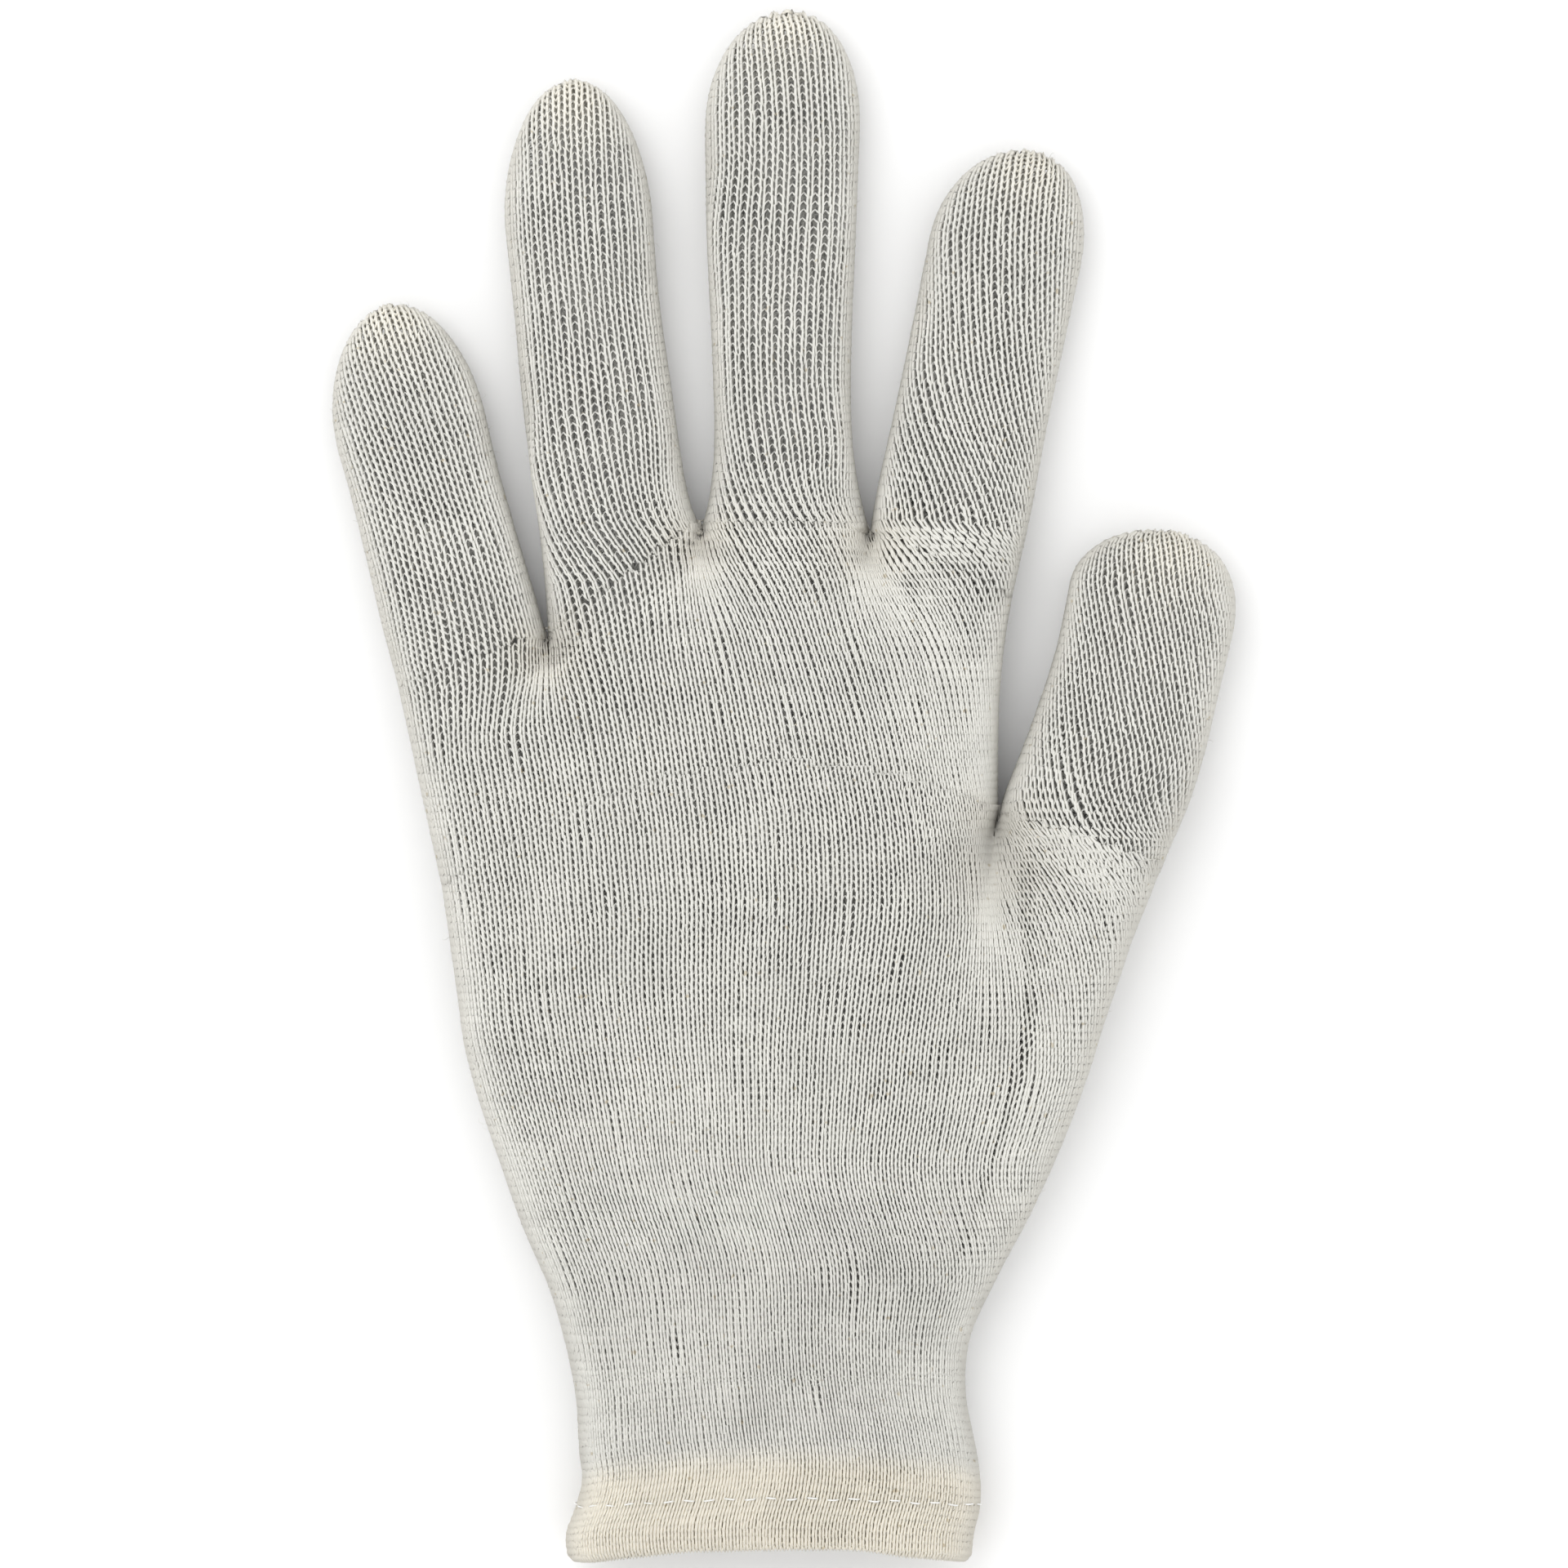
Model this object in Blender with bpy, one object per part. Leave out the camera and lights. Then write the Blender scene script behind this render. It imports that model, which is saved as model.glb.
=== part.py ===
"""Knitted cotton work glove lying on a surface, lightly lofted, with an open wrist.

The glove is one hollow knitted shell: four finger tubes run into a four-finger palm tube, the thumb
tube joins that at its own fork, and the whole narrows to the wrist. A second piece is the hem, which
is the end of the knitting turned inside the cuff, with the fold as its lower edge.

x runs across the hand towards the thumb, y from the cuff to the fingertips, z up from the surface.
Every half of a tube, upper or under, is a grid of points: rows along the tube, columns across it.
"""

import math
from collections import namedtuple

import bmesh
import bpy
import numpy as np

MM = 0.001

# Fabric and hem
WALL = 1.2 * MM
FIT_GAP = 0.3 * MM
HEM_DEPTH = 15 * MM
HEM_FOLD_ROUNDING = 0.45

# Hand body
PALM_LENGTH = 166 * MM
FORK_TO_THUMB_FORK = 46 * MM
WRIST_WIDTH = 63.7 * MM
WRIST_THICKNESS = 20 * MM
KNUCKLE_SHIFT = -10 * MM
KNUCKLE_THICKNESS = 17 * MM
PALM_THICKNESS = 23 * MM
THUMB_SIDE_REACH = 63.4 * MM

# Fingers
LITTLE_LENGTH = 59.2 * MM
LITTLE_WIDTH = 23.8 * MM
RING_LENGTH = 80.9 * MM
RING_WIDTH = 24.3 * MM
MIDDLE_LENGTH = 83.4 * MM
MIDDLE_WIDTH = 24.3 * MM
INDEX_LENGTH = 68.1 * MM
INDEX_WIDTH = 24.7 * MM
THUMB_LENGTH = 51.8 * MM
THUMB_WIDTH = 27 * MM
FINGER_THICKNESS = 13.5 * MM
THUMB_THICKNESS = 15.5 * MM

# How the parts of the hand lean, in degrees from straight up the hand, towards the thumb side
LITTLE_LEAN = -14.6
RING_LEAN = -6.3
MIDDLE_LEAN = 0
INDEX_LEAN = 11.6
THUMB_LEAN = 14.9

# Shape of a cross-section: exponents of its superellipse halves, and where its widest level lies
FINGER_CROWN = 2.2
PALM_CROWN = 2.5
UNDERSIDE = 3.0
LEVEL_SHARE = 0.4
FLATTENING = 1.12

# Grids
FINGER_COLUMNS = 7
ARCH_SAMPLES = 121
BODY_ALONG = (0, 0.04, 0.1, 0.18, 0.3, 0.46, 0.64)
CAP_STEPS = (0, 0.3, 0.55, 0.75, 0.9, 1)

# Lengths over which a finger leaves its root line and its root thickness, as shares of its length
ROOT_LINE_BLEND = 0.3
ROOT_LINE_POWER = 3
THICKNESS_BLEND = 0.6
# A finger's thickness at its root, as a share of the palm's there
ROOT_THICKNESS_SHARE = 0.94
# How far below a fork the web between two tubes fades out
FINGER_WEB = 11 * MM
THUMB_WEB = 18 * MM

WHITE_COTTON = (0.76, 0.74, 0.68, 1)
HEM_COTTON = (0.75, 0.71, 0.61, 1)
COTTON_ROUGHNESS = 0.95
SHARP_ANGLE = 50
# Points nearer than this are one point
MERGE_DISTANCE = 0.001 * MM

# root_share: the finger's share of the knuckle line, of its own width. bow and tip_shift: sideways
# curve and shift of the tip, and cap: length of the rounded end, all as shares of the width.
# near_root to near_tip: width of the sections at SECTION_AT, as shares of the width.
Finger = namedtuple(
    "Finger",
    "name length width thickness lean root_share bow tip_shift cap near_root lower upper near_tip",
)
SECTION_AT = (0.15, 0.35, 0.55, 0.75)
FINGERS = (
    Finger("little", LITTLE_LENGTH, LITTLE_WIDTH, FINGER_THICKNESS, LITTLE_LEAN,
           1.005, -0.01, 0.04, 0.96, 1.06, 1.03, 1.02, 1.06),
    Finger("ring", RING_LENGTH, RING_WIDTH, FINGER_THICKNESS, RING_LEAN,
           1.02, -0.05, 0.01, 0.98, 1.0, 1.0, 0.97, 0.99),
    Finger("middle", MIDDLE_LENGTH, MIDDLE_WIDTH, FINGER_THICKNESS, MIDDLE_LEAN,
           1.11, -0.03, 0.02, 0.76, 0.9, 0.93, 0.99, 1.03),
    Finger("index", INDEX_LENGTH, INDEX_WIDTH, FINGER_THICKNESS, INDEX_LEAN,
           0.93, 0.0, 0.05, 0.7, 1.02, 1.0, 1.0, 1.01),
)
THUMB = Finger("thumb", THUMB_LENGTH, THUMB_WIDTH, THUMB_THICKNESS, THUMB_LEAN,
               0.99, 0.07, 0.1, 0.47, 1.06, 1.04, 1.01, 1.02)

# Knuckle line: how far each of its five ends and forks lies below the fork beside the middle
# finger, as shares of FORK_TO_THUMB_FORK, from the little-finger side to the index side
KNUCKLE_DROPS = (0.57, 0.382, 0, 0.013, 0.245)

# Side edges of the four-finger palm, from the knuckle line to the thumb's fork: how far each
# edge has come from the knuckle width towards its place at the fork, as shares
PalmRow = namedtuple("PalmRow", "down left right")
UPPER_ROWS = (
    PalmRow(0.0, 0.0, 0.0),
    PalmRow(0.08, 0.08, 0.25),
    PalmRow(0.2, 0.2, 0.52),
    PalmRow(0.38, 0.38, 0.8),
    PalmRow(0.58, 0.58, 0.96),
    PalmRow(0.79, 0.79, 1.0),
    PalmRow(1.0, 1.0, 1.0),
)

# Side edges from the thumb's fork to the cuff's lower edge: 0 is the wrist's half width, 1 the
# palm's reach on that side at the fork
LOWER_ROWS = (
    PalmRow(0.0, 1.0, 1.0),
    PalmRow(0.02, 0.985, 0.97),
    PalmRow(0.05, 0.96, 0.93),
    PalmRow(0.1, 0.925, 0.857),
    PalmRow(0.16, 0.88, 0.785),
    PalmRow(0.23, 0.83, 0.7),
    PalmRow(0.31, 0.72, 0.61),
    PalmRow(0.4, 0.56, 0.49),
    PalmRow(0.5, 0.375, 0.33),
    PalmRow(0.6, 0.15, 0.145),
    PalmRow(0.68, 0.03, 0.02),
    PalmRow(0.76, -0.05, 0.0),
    PalmRow(0.84, -0.075, 0.053),
    PalmRow(0.88, -0.1, 0.072),
    PalmRow(0.92, -0.045, 0.072),
    PalmRow(0.96, 0.03, 0.04),
    PalmRow(1.0, 0.01, 0.025),
)
# Where the narrowest part of the wrist lies on the same way
WRIST_AT = 0.7

# Where the thumb's fork row lies, and its arch
FORK_LEFT_REACH = 52.2 * MM
FORK_RIGHT_REACH = 37 * MM
FORK_ROW_LEFT_DROP = 12.5 * MM
THUMB_ROOT_DROP = 8.5 * MM
FORK_ROW_ARCH = 13 * MM
CUFF_EDGE_ARCH = 2.2 * MM


def smooth_step(share):
    """0 to 1 with level ends."""
    share = np.clip(share, 0, 1)
    return share * share * (3 - 2 * share)


def web_opening(depth, web):
    """How far a tube has opened at a depth below a fork: a quarter ellipse from 0 to 1."""
    left_over = 1 - np.clip(depth / web, 0, 1)
    return np.sqrt(1 - left_over**2)


def arch(half_width, height, exponent, shares):
    """Half a superellipse at the given shares of its length: offsets from its centre, and heights."""
    angle = np.linspace(0, math.pi, ARCH_SAMPLES)
    cosine = np.cos(angle)
    across = -np.sign(cosine) * np.abs(cosine) ** (2 / exponent) * half_width
    rise = np.sin(angle).clip(0) ** (2 / exponent) * height
    length = np.concatenate([[0], np.cumsum(np.hypot(np.diff(across), np.diff(rise)))])
    length /= length[-1]
    return np.interp(shares, length, across), np.interp(shares, length, rise)


def section(left, right, level, thickness, swell, crown, columns):
    """Upper and under half of a cross-section between two side points, as two rows of points.

    The side points lie at the given level. swell scales the height above it and the depth below
    it, and the underside is cut off flat where it reaches the surface.
    """
    left = np.array(left)
    right = np.array(right)
    centre = (left + right) / 2
    half = np.linalg.norm(right - left) / 2
    along = (right - left) / max(2 * half, MERGE_DISTANCE)
    shares = np.linspace(0, 1, columns + 1)
    halves = []
    for height, exponent, sign in (
        (thickness - level, crown, 1),
        (level * FLATTENING, UNDERSIDE, -1),
    ):
        across, rise = arch(half, height * swell, exponent, shares)
        row = np.empty((columns + 1, 3))
        row[:, :2] = centre + across[:, None] * along
        row[:, 2] = np.maximum(level + sign * rise, 0)
        halves.append(row)
    return halves


def knuckle_points():
    """The knuckle line's two ends and three forks, as points across and along the hand."""
    spans = [finger.width * finger.root_share for finger in FINGERS]
    across = KNUCKLE_SHIFT - sum(spans) / 2 + np.concatenate([[0], np.cumsum(spans)])
    drops = np.array(KNUCKLE_DROPS) * FORK_TO_THUMB_FORK
    return np.column_stack([across, PALM_LENGTH - drops])


def thumb_root_points():
    """The thumb's fork and the outer end of the thumb's root line."""
    fork_y = PALM_LENGTH - FORK_TO_THUMB_FORK
    fork = (FORK_RIGHT_REACH, fork_y)
    outer = (THUMB_SIDE_REACH, fork_y - THUMB_ROOT_DROP)
    return np.array([fork, outer])


def finger_rows(finger, root_left, root_right, body_thickness):
    """Upper and under grid of a finger, from its root line to the point of its tip."""
    lean = math.radians(finger.lean)
    axis = np.array([math.sin(lean), math.cos(lean)])
    side = np.array([math.cos(lean), -math.sin(lean)])
    root = (root_left + root_right) / 2
    root_thickness = body_thickness * ROOT_THICKNESS_SHARE
    cap_start = 1 - finger.cap * finger.width / finger.length
    body = [share * cap_start / BODY_ALONG[-1] for share in BODY_ALONG]
    stations = [(along, 1.0, 0.0) for along in body[:-1]]
    for step in CAP_STEPS:
        angle = step * math.pi / 2
        along = cap_start + (1 - cap_start) * math.sin(angle)
        stations.append((along, math.cos(angle), math.sin(angle)))
    widths = (finger.near_root, finger.lower, finger.upper, finger.near_tip)
    upper, under = [], []
    for along, swell, in_cap in stations:
        width = np.interp(along, SECTION_AT, widths) * finger.width * swell
        bow = 4 * along * (1 - along) * finger.bow
        aside = (bow + finger.tip_shift * in_cap**2) * finger.width
        centre = root + axis * along * finger.length + side * aside
        at_root = (1 - min(along / ROOT_LINE_BLEND, 1)) ** ROOT_LINE_POWER
        move = axis * along * finger.length
        left = (1 - at_root) * (centre - side * width / 2) + at_root * (root_left + move)
        right = (1 - at_root) * (centre + side * width / 2) + at_root * (root_right + move)
        thin = smooth_step(along / THICKNESS_BLEND)
        thickness = root_thickness + (finger.thickness - root_thickness) * thin
        level = LEVEL_SHARE * (body_thickness + (finger.thickness - body_thickness) * thin)
        halves = section(left, right, level, thickness, swell, FINGER_CROWN, FINGER_COLUMNS)
        upper.append(halves[0])
        under.append(halves[1])
    return np.array(upper), np.array(under)


def bent_section(left, middle_rise, right, thickness, columns):
    """A palm's section whose row is arched along the hand by middle_rise at its middle."""
    level = LEVEL_SHARE * thickness
    halves = section(left, right, level, thickness, 1, PALM_CROWN, columns)
    half = np.linalg.norm(np.array(right) - left) / 2
    for row in halves:
        across = np.linalg.norm(row[:, :2] - (np.array(left) + right) / 2, axis=1) / half
        row[:, 1] += middle_rise * (1 - np.clip(across, 0, 1) ** 2)
    return halves


def faded_rows(top_halves, full_halves, depths, web, settle):
    """Rows of a tube below a fork line: top_halves turn into the full section of each row.

    The valleys between two tubes open over the web, all else fades over settle.
    """
    grids = []
    for top, full, outward in zip(top_halves, full_halves, (1, -1)):
        difference = top - full[0]
        opened = web_opening(depths, web)[:, None]
        settled = smooth_step(depths / settle)[:, None]
        in_valley = difference[:, 2] * outward < 0
        grid = full.copy()
        grid[:, :, :2] += difference[:, :2] * (1 - settled)[:, :, None]
        grid[:, :, 2] += difference[:, 2] * (1 - np.where(in_valley, opened, settled))
        grids.append(grid)
    return grids


def upper_palm(knuckle_halves, ends):
    """The four-finger palm, from the knuckle line down to the row of the thumb's fork."""
    columns = FINGER_COLUMNS * len(FINGERS)
    fork = thumb_root_points()[0]
    fork_left = np.array([-FORK_LEFT_REACH, fork[1] - FORK_ROW_LEFT_DROP])
    top_rise = ends.mean(axis=0)[1]
    top_arch = PALM_LENGTH - top_rise
    uppers, unders = [], []
    for row in UPPER_ROWS:
        left = ends[0] + (fork_left - ends[0]) * np.array([row.left, row.down])
        right = ends[1] + (fork - ends[1]) * np.array([row.right, row.down])
        rise = top_arch + (FORK_ROW_ARCH - top_arch) * row.down
        thickness = KNUCKLE_THICKNESS + (PALM_THICKNESS - KNUCKLE_THICKNESS) * row.down
        halves = bent_section(left, rise, right, thickness, columns)
        uppers.append(halves[0])
        unders.append(halves[1])
    depths = np.array([row.down for row in UPPER_ROWS]) * FORK_TO_THUMB_FORK
    full = np.array(uppers), np.array(unders)
    return faded_rows(knuckle_halves, full, depths, FINGER_WEB, FORK_TO_THUMB_FORK)


def wrist_halves(down, start_left, start_right):
    """Upper and under row of the hand at a share of the way from the thumb's fork to the cuff."""
    columns = FINGER_COLUMNS * (len(FINGERS) + 1)
    half_wrist = WRIST_WIDTH / 2
    downs = [row.down for row in LOWER_ROWS]
    left_out = np.interp(down, downs, [row.left for row in LOWER_ROWS])
    right_out = np.interp(down, downs, [row.right for row in LOWER_ROWS])
    left = np.array([
        -half_wrist + (start_left[0] + half_wrist) * left_out,
        start_left[1] * (1 - down),
    ])
    right = np.array([
        half_wrist + (start_right[0] - half_wrist) * right_out,
        start_right[1] * (1 - down),
    ])
    rise = FORK_ROW_ARCH + (CUFF_EDGE_ARCH - FORK_ROW_ARCH) * down
    thin = smooth_step(down / WRIST_AT)
    thickness = PALM_THICKNESS + (WRIST_THICKNESS - PALM_THICKNESS) * thin
    return bent_section(left, rise, right, thickness, columns)


def lower_palm(fork_halves):
    """The palm with the thumb's base, from the row of the thumb's fork to the shell's end."""
    start_left = fork_halves[0][0, :2]
    start_right = fork_halves[0][-1, :2]
    length = PALM_LENGTH - FORK_TO_THUMB_FORK
    shell_end = 1 - (WALL + FIT_GAP) / length
    downs = [row.down for row in LOWER_ROWS[:-1]] + [shell_end]
    halves = [wrist_halves(down, start_left, start_right) for down in downs]
    full = [np.array([pair[half] for pair in halves]) for half in (0, 1)]
    depths = np.array(downs) * length
    return faded_rows(fork_halves, full, depths, THUMB_WEB, length * WRIST_AT)


def joined_row(rows):
    """Several rows whose ends meet, as one row."""
    return np.concatenate([rows[0]] + [row[1:] for row in rows[1:]])


def glove_grids():
    """All upper and under grids of the outer surface, the last pair being the palm to the cuff."""
    points = knuckle_points()
    pairs = [
        finger_rows(finger, points[i], points[i + 1], KNUCKLE_THICKNESS)
        for i, finger in enumerate(FINGERS)
    ]
    knuckles = [joined_row([pair[half][0] for pair in pairs]) for half in (0, 1)]
    palm = upper_palm(knuckles, points[[0, -1]])
    thumb = finger_rows(THUMB, *thumb_root_points(), PALM_THICKNESS)
    fork_row = [joined_row([palm[half][-1], thumb[half][0]]) for half in (0, 1)]
    return pairs + [palm, thumb, lower_palm(fork_row)]


def add_grid(mesh, grid, flip):
    """Adds a grid of points to the mesh with its quads, facing up, or down if flipped."""
    rows, columns = grid.shape[:2]
    verts = [mesh.verts.new(point) for point in grid.reshape(-1, 3)]
    for row in range(rows - 1):
        for column in range(columns - 1):
            first = row * columns + column
            corners = [first, first + 1, first + columns + 1, first + columns]
            if flip:
                corners.reverse()
            mesh.faces.new([verts[corner] for corner in corners])


def centring(grids):
    """The move that brings the glove's box to the middle of the frame, its underside to z = 0."""
    points = np.concatenate([grid.reshape(-1, 3) for pair in grids for grid in pair])
    low = points.min(axis=0)
    high = points.max(axis=0)
    return np.array([-(low[0] + high[0]) / 2, -high[1] / 2, -low[2]])


def cotton(name, colour):
    """Matt undyed cotton."""
    material = bpy.data.materials.new(name)
    material.use_nodes = True
    shader = material.node_tree.nodes["Principled BSDF"]
    shader.inputs["Base Color"].default_value = colour
    shader.inputs["Roughness"].default_value = COTTON_ROUGHNESS
    shader.inputs["Metallic"].default_value = 0
    return material


def add_object(name, mesh, material):
    """Puts a finished bmesh into the scene as a named object, smooth except at sharp edges."""
    data = bpy.data.meshes.new(name)
    mesh.to_mesh(data)
    mesh.free()
    data.materials.append(material)
    data.shade_smooth()
    data.set_sharp_from_angle(angle=math.radians(SHARP_ANGLE))
    made = bpy.data.objects.new(name, data)
    bpy.context.scene.collection.objects.link(made)
    return made


def inset_ring(ring, inset):
    """A closed ring of points about the cuff, moved inwards in its own upright plane."""
    flat = ring[:, [0, 2]]
    tangent = np.roll(flat, -1, axis=0) - np.roll(flat, 1, axis=0)
    tangent /= np.linalg.norm(tangent, axis=1)[:, None]
    moved = ring.copy()
    moved[:, 0] += tangent[:, 1] * inset
    moved[:, 2] -= tangent[:, 0] * inset
    return moved


def cuff_ring(down, fork_ends):
    """The outer surface's closed ring at a share of the way from the thumb's fork to the cuff."""
    upper, under = wrist_halves(down, *fork_ends)
    return np.concatenate([upper, under[-2:0:-1]])


def make_hem(move, grids):
    """The end of the knitting turned inside the cuff, with the fold that closes the lower edge."""
    fork_row = grids[-1][0][0]
    fork_ends = fork_row[0, :2], fork_row[-1, :2]
    length = PALM_LENGTH - FORK_TO_THUMB_FORK
    inner = 2 * WALL + FIT_GAP
    profile = (
        (WALL + FIT_GAP, HEM_DEPTH),
        (WALL + FIT_GAP, HEM_DEPTH / 2),
        (WALL + FIT_GAP, WALL),
        (0, WALL),
        (0, WALL * HEM_FOLD_ROUNDING),
        (WALL * HEM_FOLD_ROUNDING, 0),
        (inner - WALL * HEM_FOLD_ROUNDING, 0),
        (inner, WALL * HEM_FOLD_ROUNDING),
        (inner, HEM_DEPTH / 2),
        (inner, HEM_DEPTH),
    )
    mesh = bmesh.new()
    loops = []
    for inset, above in profile:
        ring = inset_ring(cuff_ring(1 - above / length, fork_ends), inset)
        loops.append([mesh.verts.new(point) for point in ring + move])
    for loop, following in zip(loops, loops[1:] + loops[:1]):
        for number in range(len(loop)):
            after = (number + 1) % len(loop)
            mesh.faces.new((loop[number], following[number], following[after], loop[after]))
    bmesh.ops.recalc_face_normals(mesh, faces=mesh.faces)
    return add_object("cuff_hem", mesh, cotton("hem_cotton", HEM_COTTON))


def make_shell(move, grids):
    """The knitted shell: the outer surface, thickened inwards, and open at the wrist."""
    mesh = bmesh.new()
    for number, (upper, under) in enumerate(grids):
        towards_tip = number < len(FINGERS) or number == len(FINGERS) + 1
        add_grid(mesh, upper + move, flip=not towards_tip)
        add_grid(mesh, under + move, flip=towards_tip)
    bmesh.ops.remove_doubles(mesh, verts=mesh.verts, dist=MERGE_DISTANCE)
    shell = add_object("knit_shell", mesh, cotton("knitted_cotton", WHITE_COTTON))
    wall = shell.modifiers.new("wall", "SOLIDIFY")
    wall.thickness = WALL
    wall.offset = -1
    wall.use_even_offset = True
    wall.use_rim = True
    return shell


def main():
    for old in list(bpy.data.objects):
        bpy.data.objects.remove(old)
    grids = glove_grids()
    move = centring(grids)
    make_shell(move, grids)
    make_hem(move, grids)


main()
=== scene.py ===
"""Knitted cotton work glove, lying lightly lofted: each wall is plain jersey, loop by loop.

The walls follow the same sections as the glove's solids. A wall is a grid of closed rings, and each
course of the knitting is one yarn whose loops are laid on that grid half a wall below its surface.
Lengths are in metres, x runs across the hand towards the thumb, y to the fingertips, z up.
"""

import copy
import math
from collections import namedtuple

import bpy
import numpy as np
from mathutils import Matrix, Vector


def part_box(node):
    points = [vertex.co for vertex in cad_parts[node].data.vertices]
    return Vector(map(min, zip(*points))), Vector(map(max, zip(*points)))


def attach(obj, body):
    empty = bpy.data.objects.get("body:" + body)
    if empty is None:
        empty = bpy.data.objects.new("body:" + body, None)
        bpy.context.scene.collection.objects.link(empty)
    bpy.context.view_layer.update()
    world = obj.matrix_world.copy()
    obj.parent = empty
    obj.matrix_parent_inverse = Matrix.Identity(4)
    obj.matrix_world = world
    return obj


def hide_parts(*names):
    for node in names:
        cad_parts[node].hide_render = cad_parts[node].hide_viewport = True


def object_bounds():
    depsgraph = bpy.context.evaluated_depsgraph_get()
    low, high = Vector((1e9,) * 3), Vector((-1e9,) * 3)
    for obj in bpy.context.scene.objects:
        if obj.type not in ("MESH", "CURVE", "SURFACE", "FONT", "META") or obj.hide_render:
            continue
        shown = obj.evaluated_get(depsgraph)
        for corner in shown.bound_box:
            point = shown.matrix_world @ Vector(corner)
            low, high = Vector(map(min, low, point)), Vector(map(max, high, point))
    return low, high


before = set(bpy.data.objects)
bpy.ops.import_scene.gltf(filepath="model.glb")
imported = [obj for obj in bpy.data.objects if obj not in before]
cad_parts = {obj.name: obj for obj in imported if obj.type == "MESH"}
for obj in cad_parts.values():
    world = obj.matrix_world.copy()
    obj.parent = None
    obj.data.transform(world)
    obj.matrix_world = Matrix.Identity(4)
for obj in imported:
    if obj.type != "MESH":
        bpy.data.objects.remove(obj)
CAD_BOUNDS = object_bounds()

MM = 0.001
TAU = 2 * math.pi
SEED = 11

# Cloth
WALL = 1.2 * MM
HEM_DEPTH = 15 * MM

# Hand body
PALM_LENGTH = 166 * MM
FORK_TO_THUMB_FORK = 46 * MM
WRIST_WIDTH = 63.7 * MM
WRIST_THICKNESS = 20 * MM
KNUCKLE_SHIFT = -10 * MM
KNUCKLE_THICKNESS = 17 * MM
PALM_THICKNESS = 23 * MM
THUMB_SIDE_REACH = 63.4 * MM
FORK_LEFT_REACH = 52.2 * MM
FORK_RIGHT_REACH = 37 * MM
FORK_ROW_LEFT_DROP = 12.5 * MM
THUMB_ROOT_DROP = 8.5 * MM
FORK_ROW_ARCH = 13 * MM
CUFF_EDGE_ARCH = 2.2 * MM
FINGER_WEB = 9 * MM
THUMB_WEB = 14 * MM
WRIST_AT = 0.7

# Fingers
FINGER_THICKNESS = 13.5 * MM
THUMB_THICKNESS = 15.5 * MM
ROOT_THICKNESS_SHARE = 0.94
ROOT_LINE_BLEND = 0.3
ROOT_LINE_POWER = 3
THICKNESS_BLEND = 0.6

# Cross-sections
FINGER_CROWN = 2.2
PALM_CROWN = 2.5
UNDERSIDE = 3.0
LEVEL_SHARE = 0.4
FLATTENING = 1.12

# lean turns the finger towards the thumb, in degrees. root_share, bow, tip_shift and cap are its
# root's width, its bend, its tip's shift and its cap's length, as shares of its width. widths are
# shares of its width too, at WIDTHS_AT along it. leans are the wales' slant to the left of the
# finger's own line at LEANS_AT, in degrees. wales is their number in half of the finger, gap is
# how far its loops are drawn open, in wales, and full how much thicker its yarn has swollen.
Finger = namedtuple(
    "Finger",
    "name length width thickness lean root_share bow tip_shift cap widths leans wales gap full",
)
FINGER_WALES = 17
THUMB_WALES = 20
WIDTHS_AT = (0.15, 0.35, 0.55, 0.75)
LEANS_AT = (0, 0.2, 0.5, 1)
FINGERS = (
    Finger("little", 59.2 * MM, 23.8 * MM, FINGER_THICKNESS, -14.6, 1.005, -0.01, 0.04, 0.96,
           (1.06, 1.03, 1.02, 1.06), (-8, -2, 5, 9), FINGER_WALES, 0.01, 0.21),
    Finger("ring", 80.9 * MM, 24.3 * MM, FINGER_THICKNESS, -6.3, 1.02, -0.05, 0.01, 0.98,
           (1.0, 1.0, 0.97, 0.99), (24, 5, 0, -1), FINGER_WALES, 0.06, 0.06),
    Finger("middle", 83.4 * MM, 24.3 * MM, FINGER_THICKNESS, 0, 1.11, -0.03, 0.02, 0.76,
           (0.9, 0.93, 0.99, 1.03), (36, 8, -3, 14), FINGER_WALES, 0.075, 0.04),
    Finger("index", 68.1 * MM, 24.7 * MM, FINGER_THICKNESS, 11.6, 0.93, 0.0, 0.05, 0.7,
           (1.02, 1.0, 1.0, 1.01), (12, 34, 18, 7), FINGER_WALES, 0.03, 0.19),
)
THUMB = Finger("thumb", 51.8 * MM, 27 * MM, THUMB_THICKNESS, 14.9, 0.99, 0.07, 0.1, 0.47,
               (1.06, 1.04, 1.01, 1.02), (34, 30, 26, 21), THUMB_WALES, 0.015, 0.13)
# Drops of the knuckle line's five points, as shares of the way down to the thumb's fork
KNUCKLE_DROPS = (0.57, 0.382, 0, 0.013, 0.245)

# Side edges of the palm above and below the thumb's fork, as in the solids
UPPER_DOWN = (0.0, 0.08, 0.2, 0.38, 0.58, 0.79, 1.0)
UPPER_RIGHT = (0.0, 0.25, 0.52, 0.8, 0.96, 1.0, 1.0)
LOWER_DOWN = (0.0, 0.02, 0.05, 0.1, 0.16, 0.23, 0.31, 0.4, 0.5, 0.6, 0.68, 0.76, 0.84, 0.88,
              0.92, 0.96, 1.0)
LOWER_LEFT = (1.0, 0.985, 0.96, 0.925, 0.88, 0.83, 0.72, 0.56, 0.375, 0.15, 0.03, -0.05, -0.075,
              -0.1, -0.045, 0.03, 0.01)
LOWER_RIGHT = (1.0, 0.97, 0.93, 0.857, 0.785, 0.7, 0.61, 0.49, 0.33, 0.145, 0.02, 0.0, 0.053,
               0.072, 0.072, 0.04, 0.025)

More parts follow.
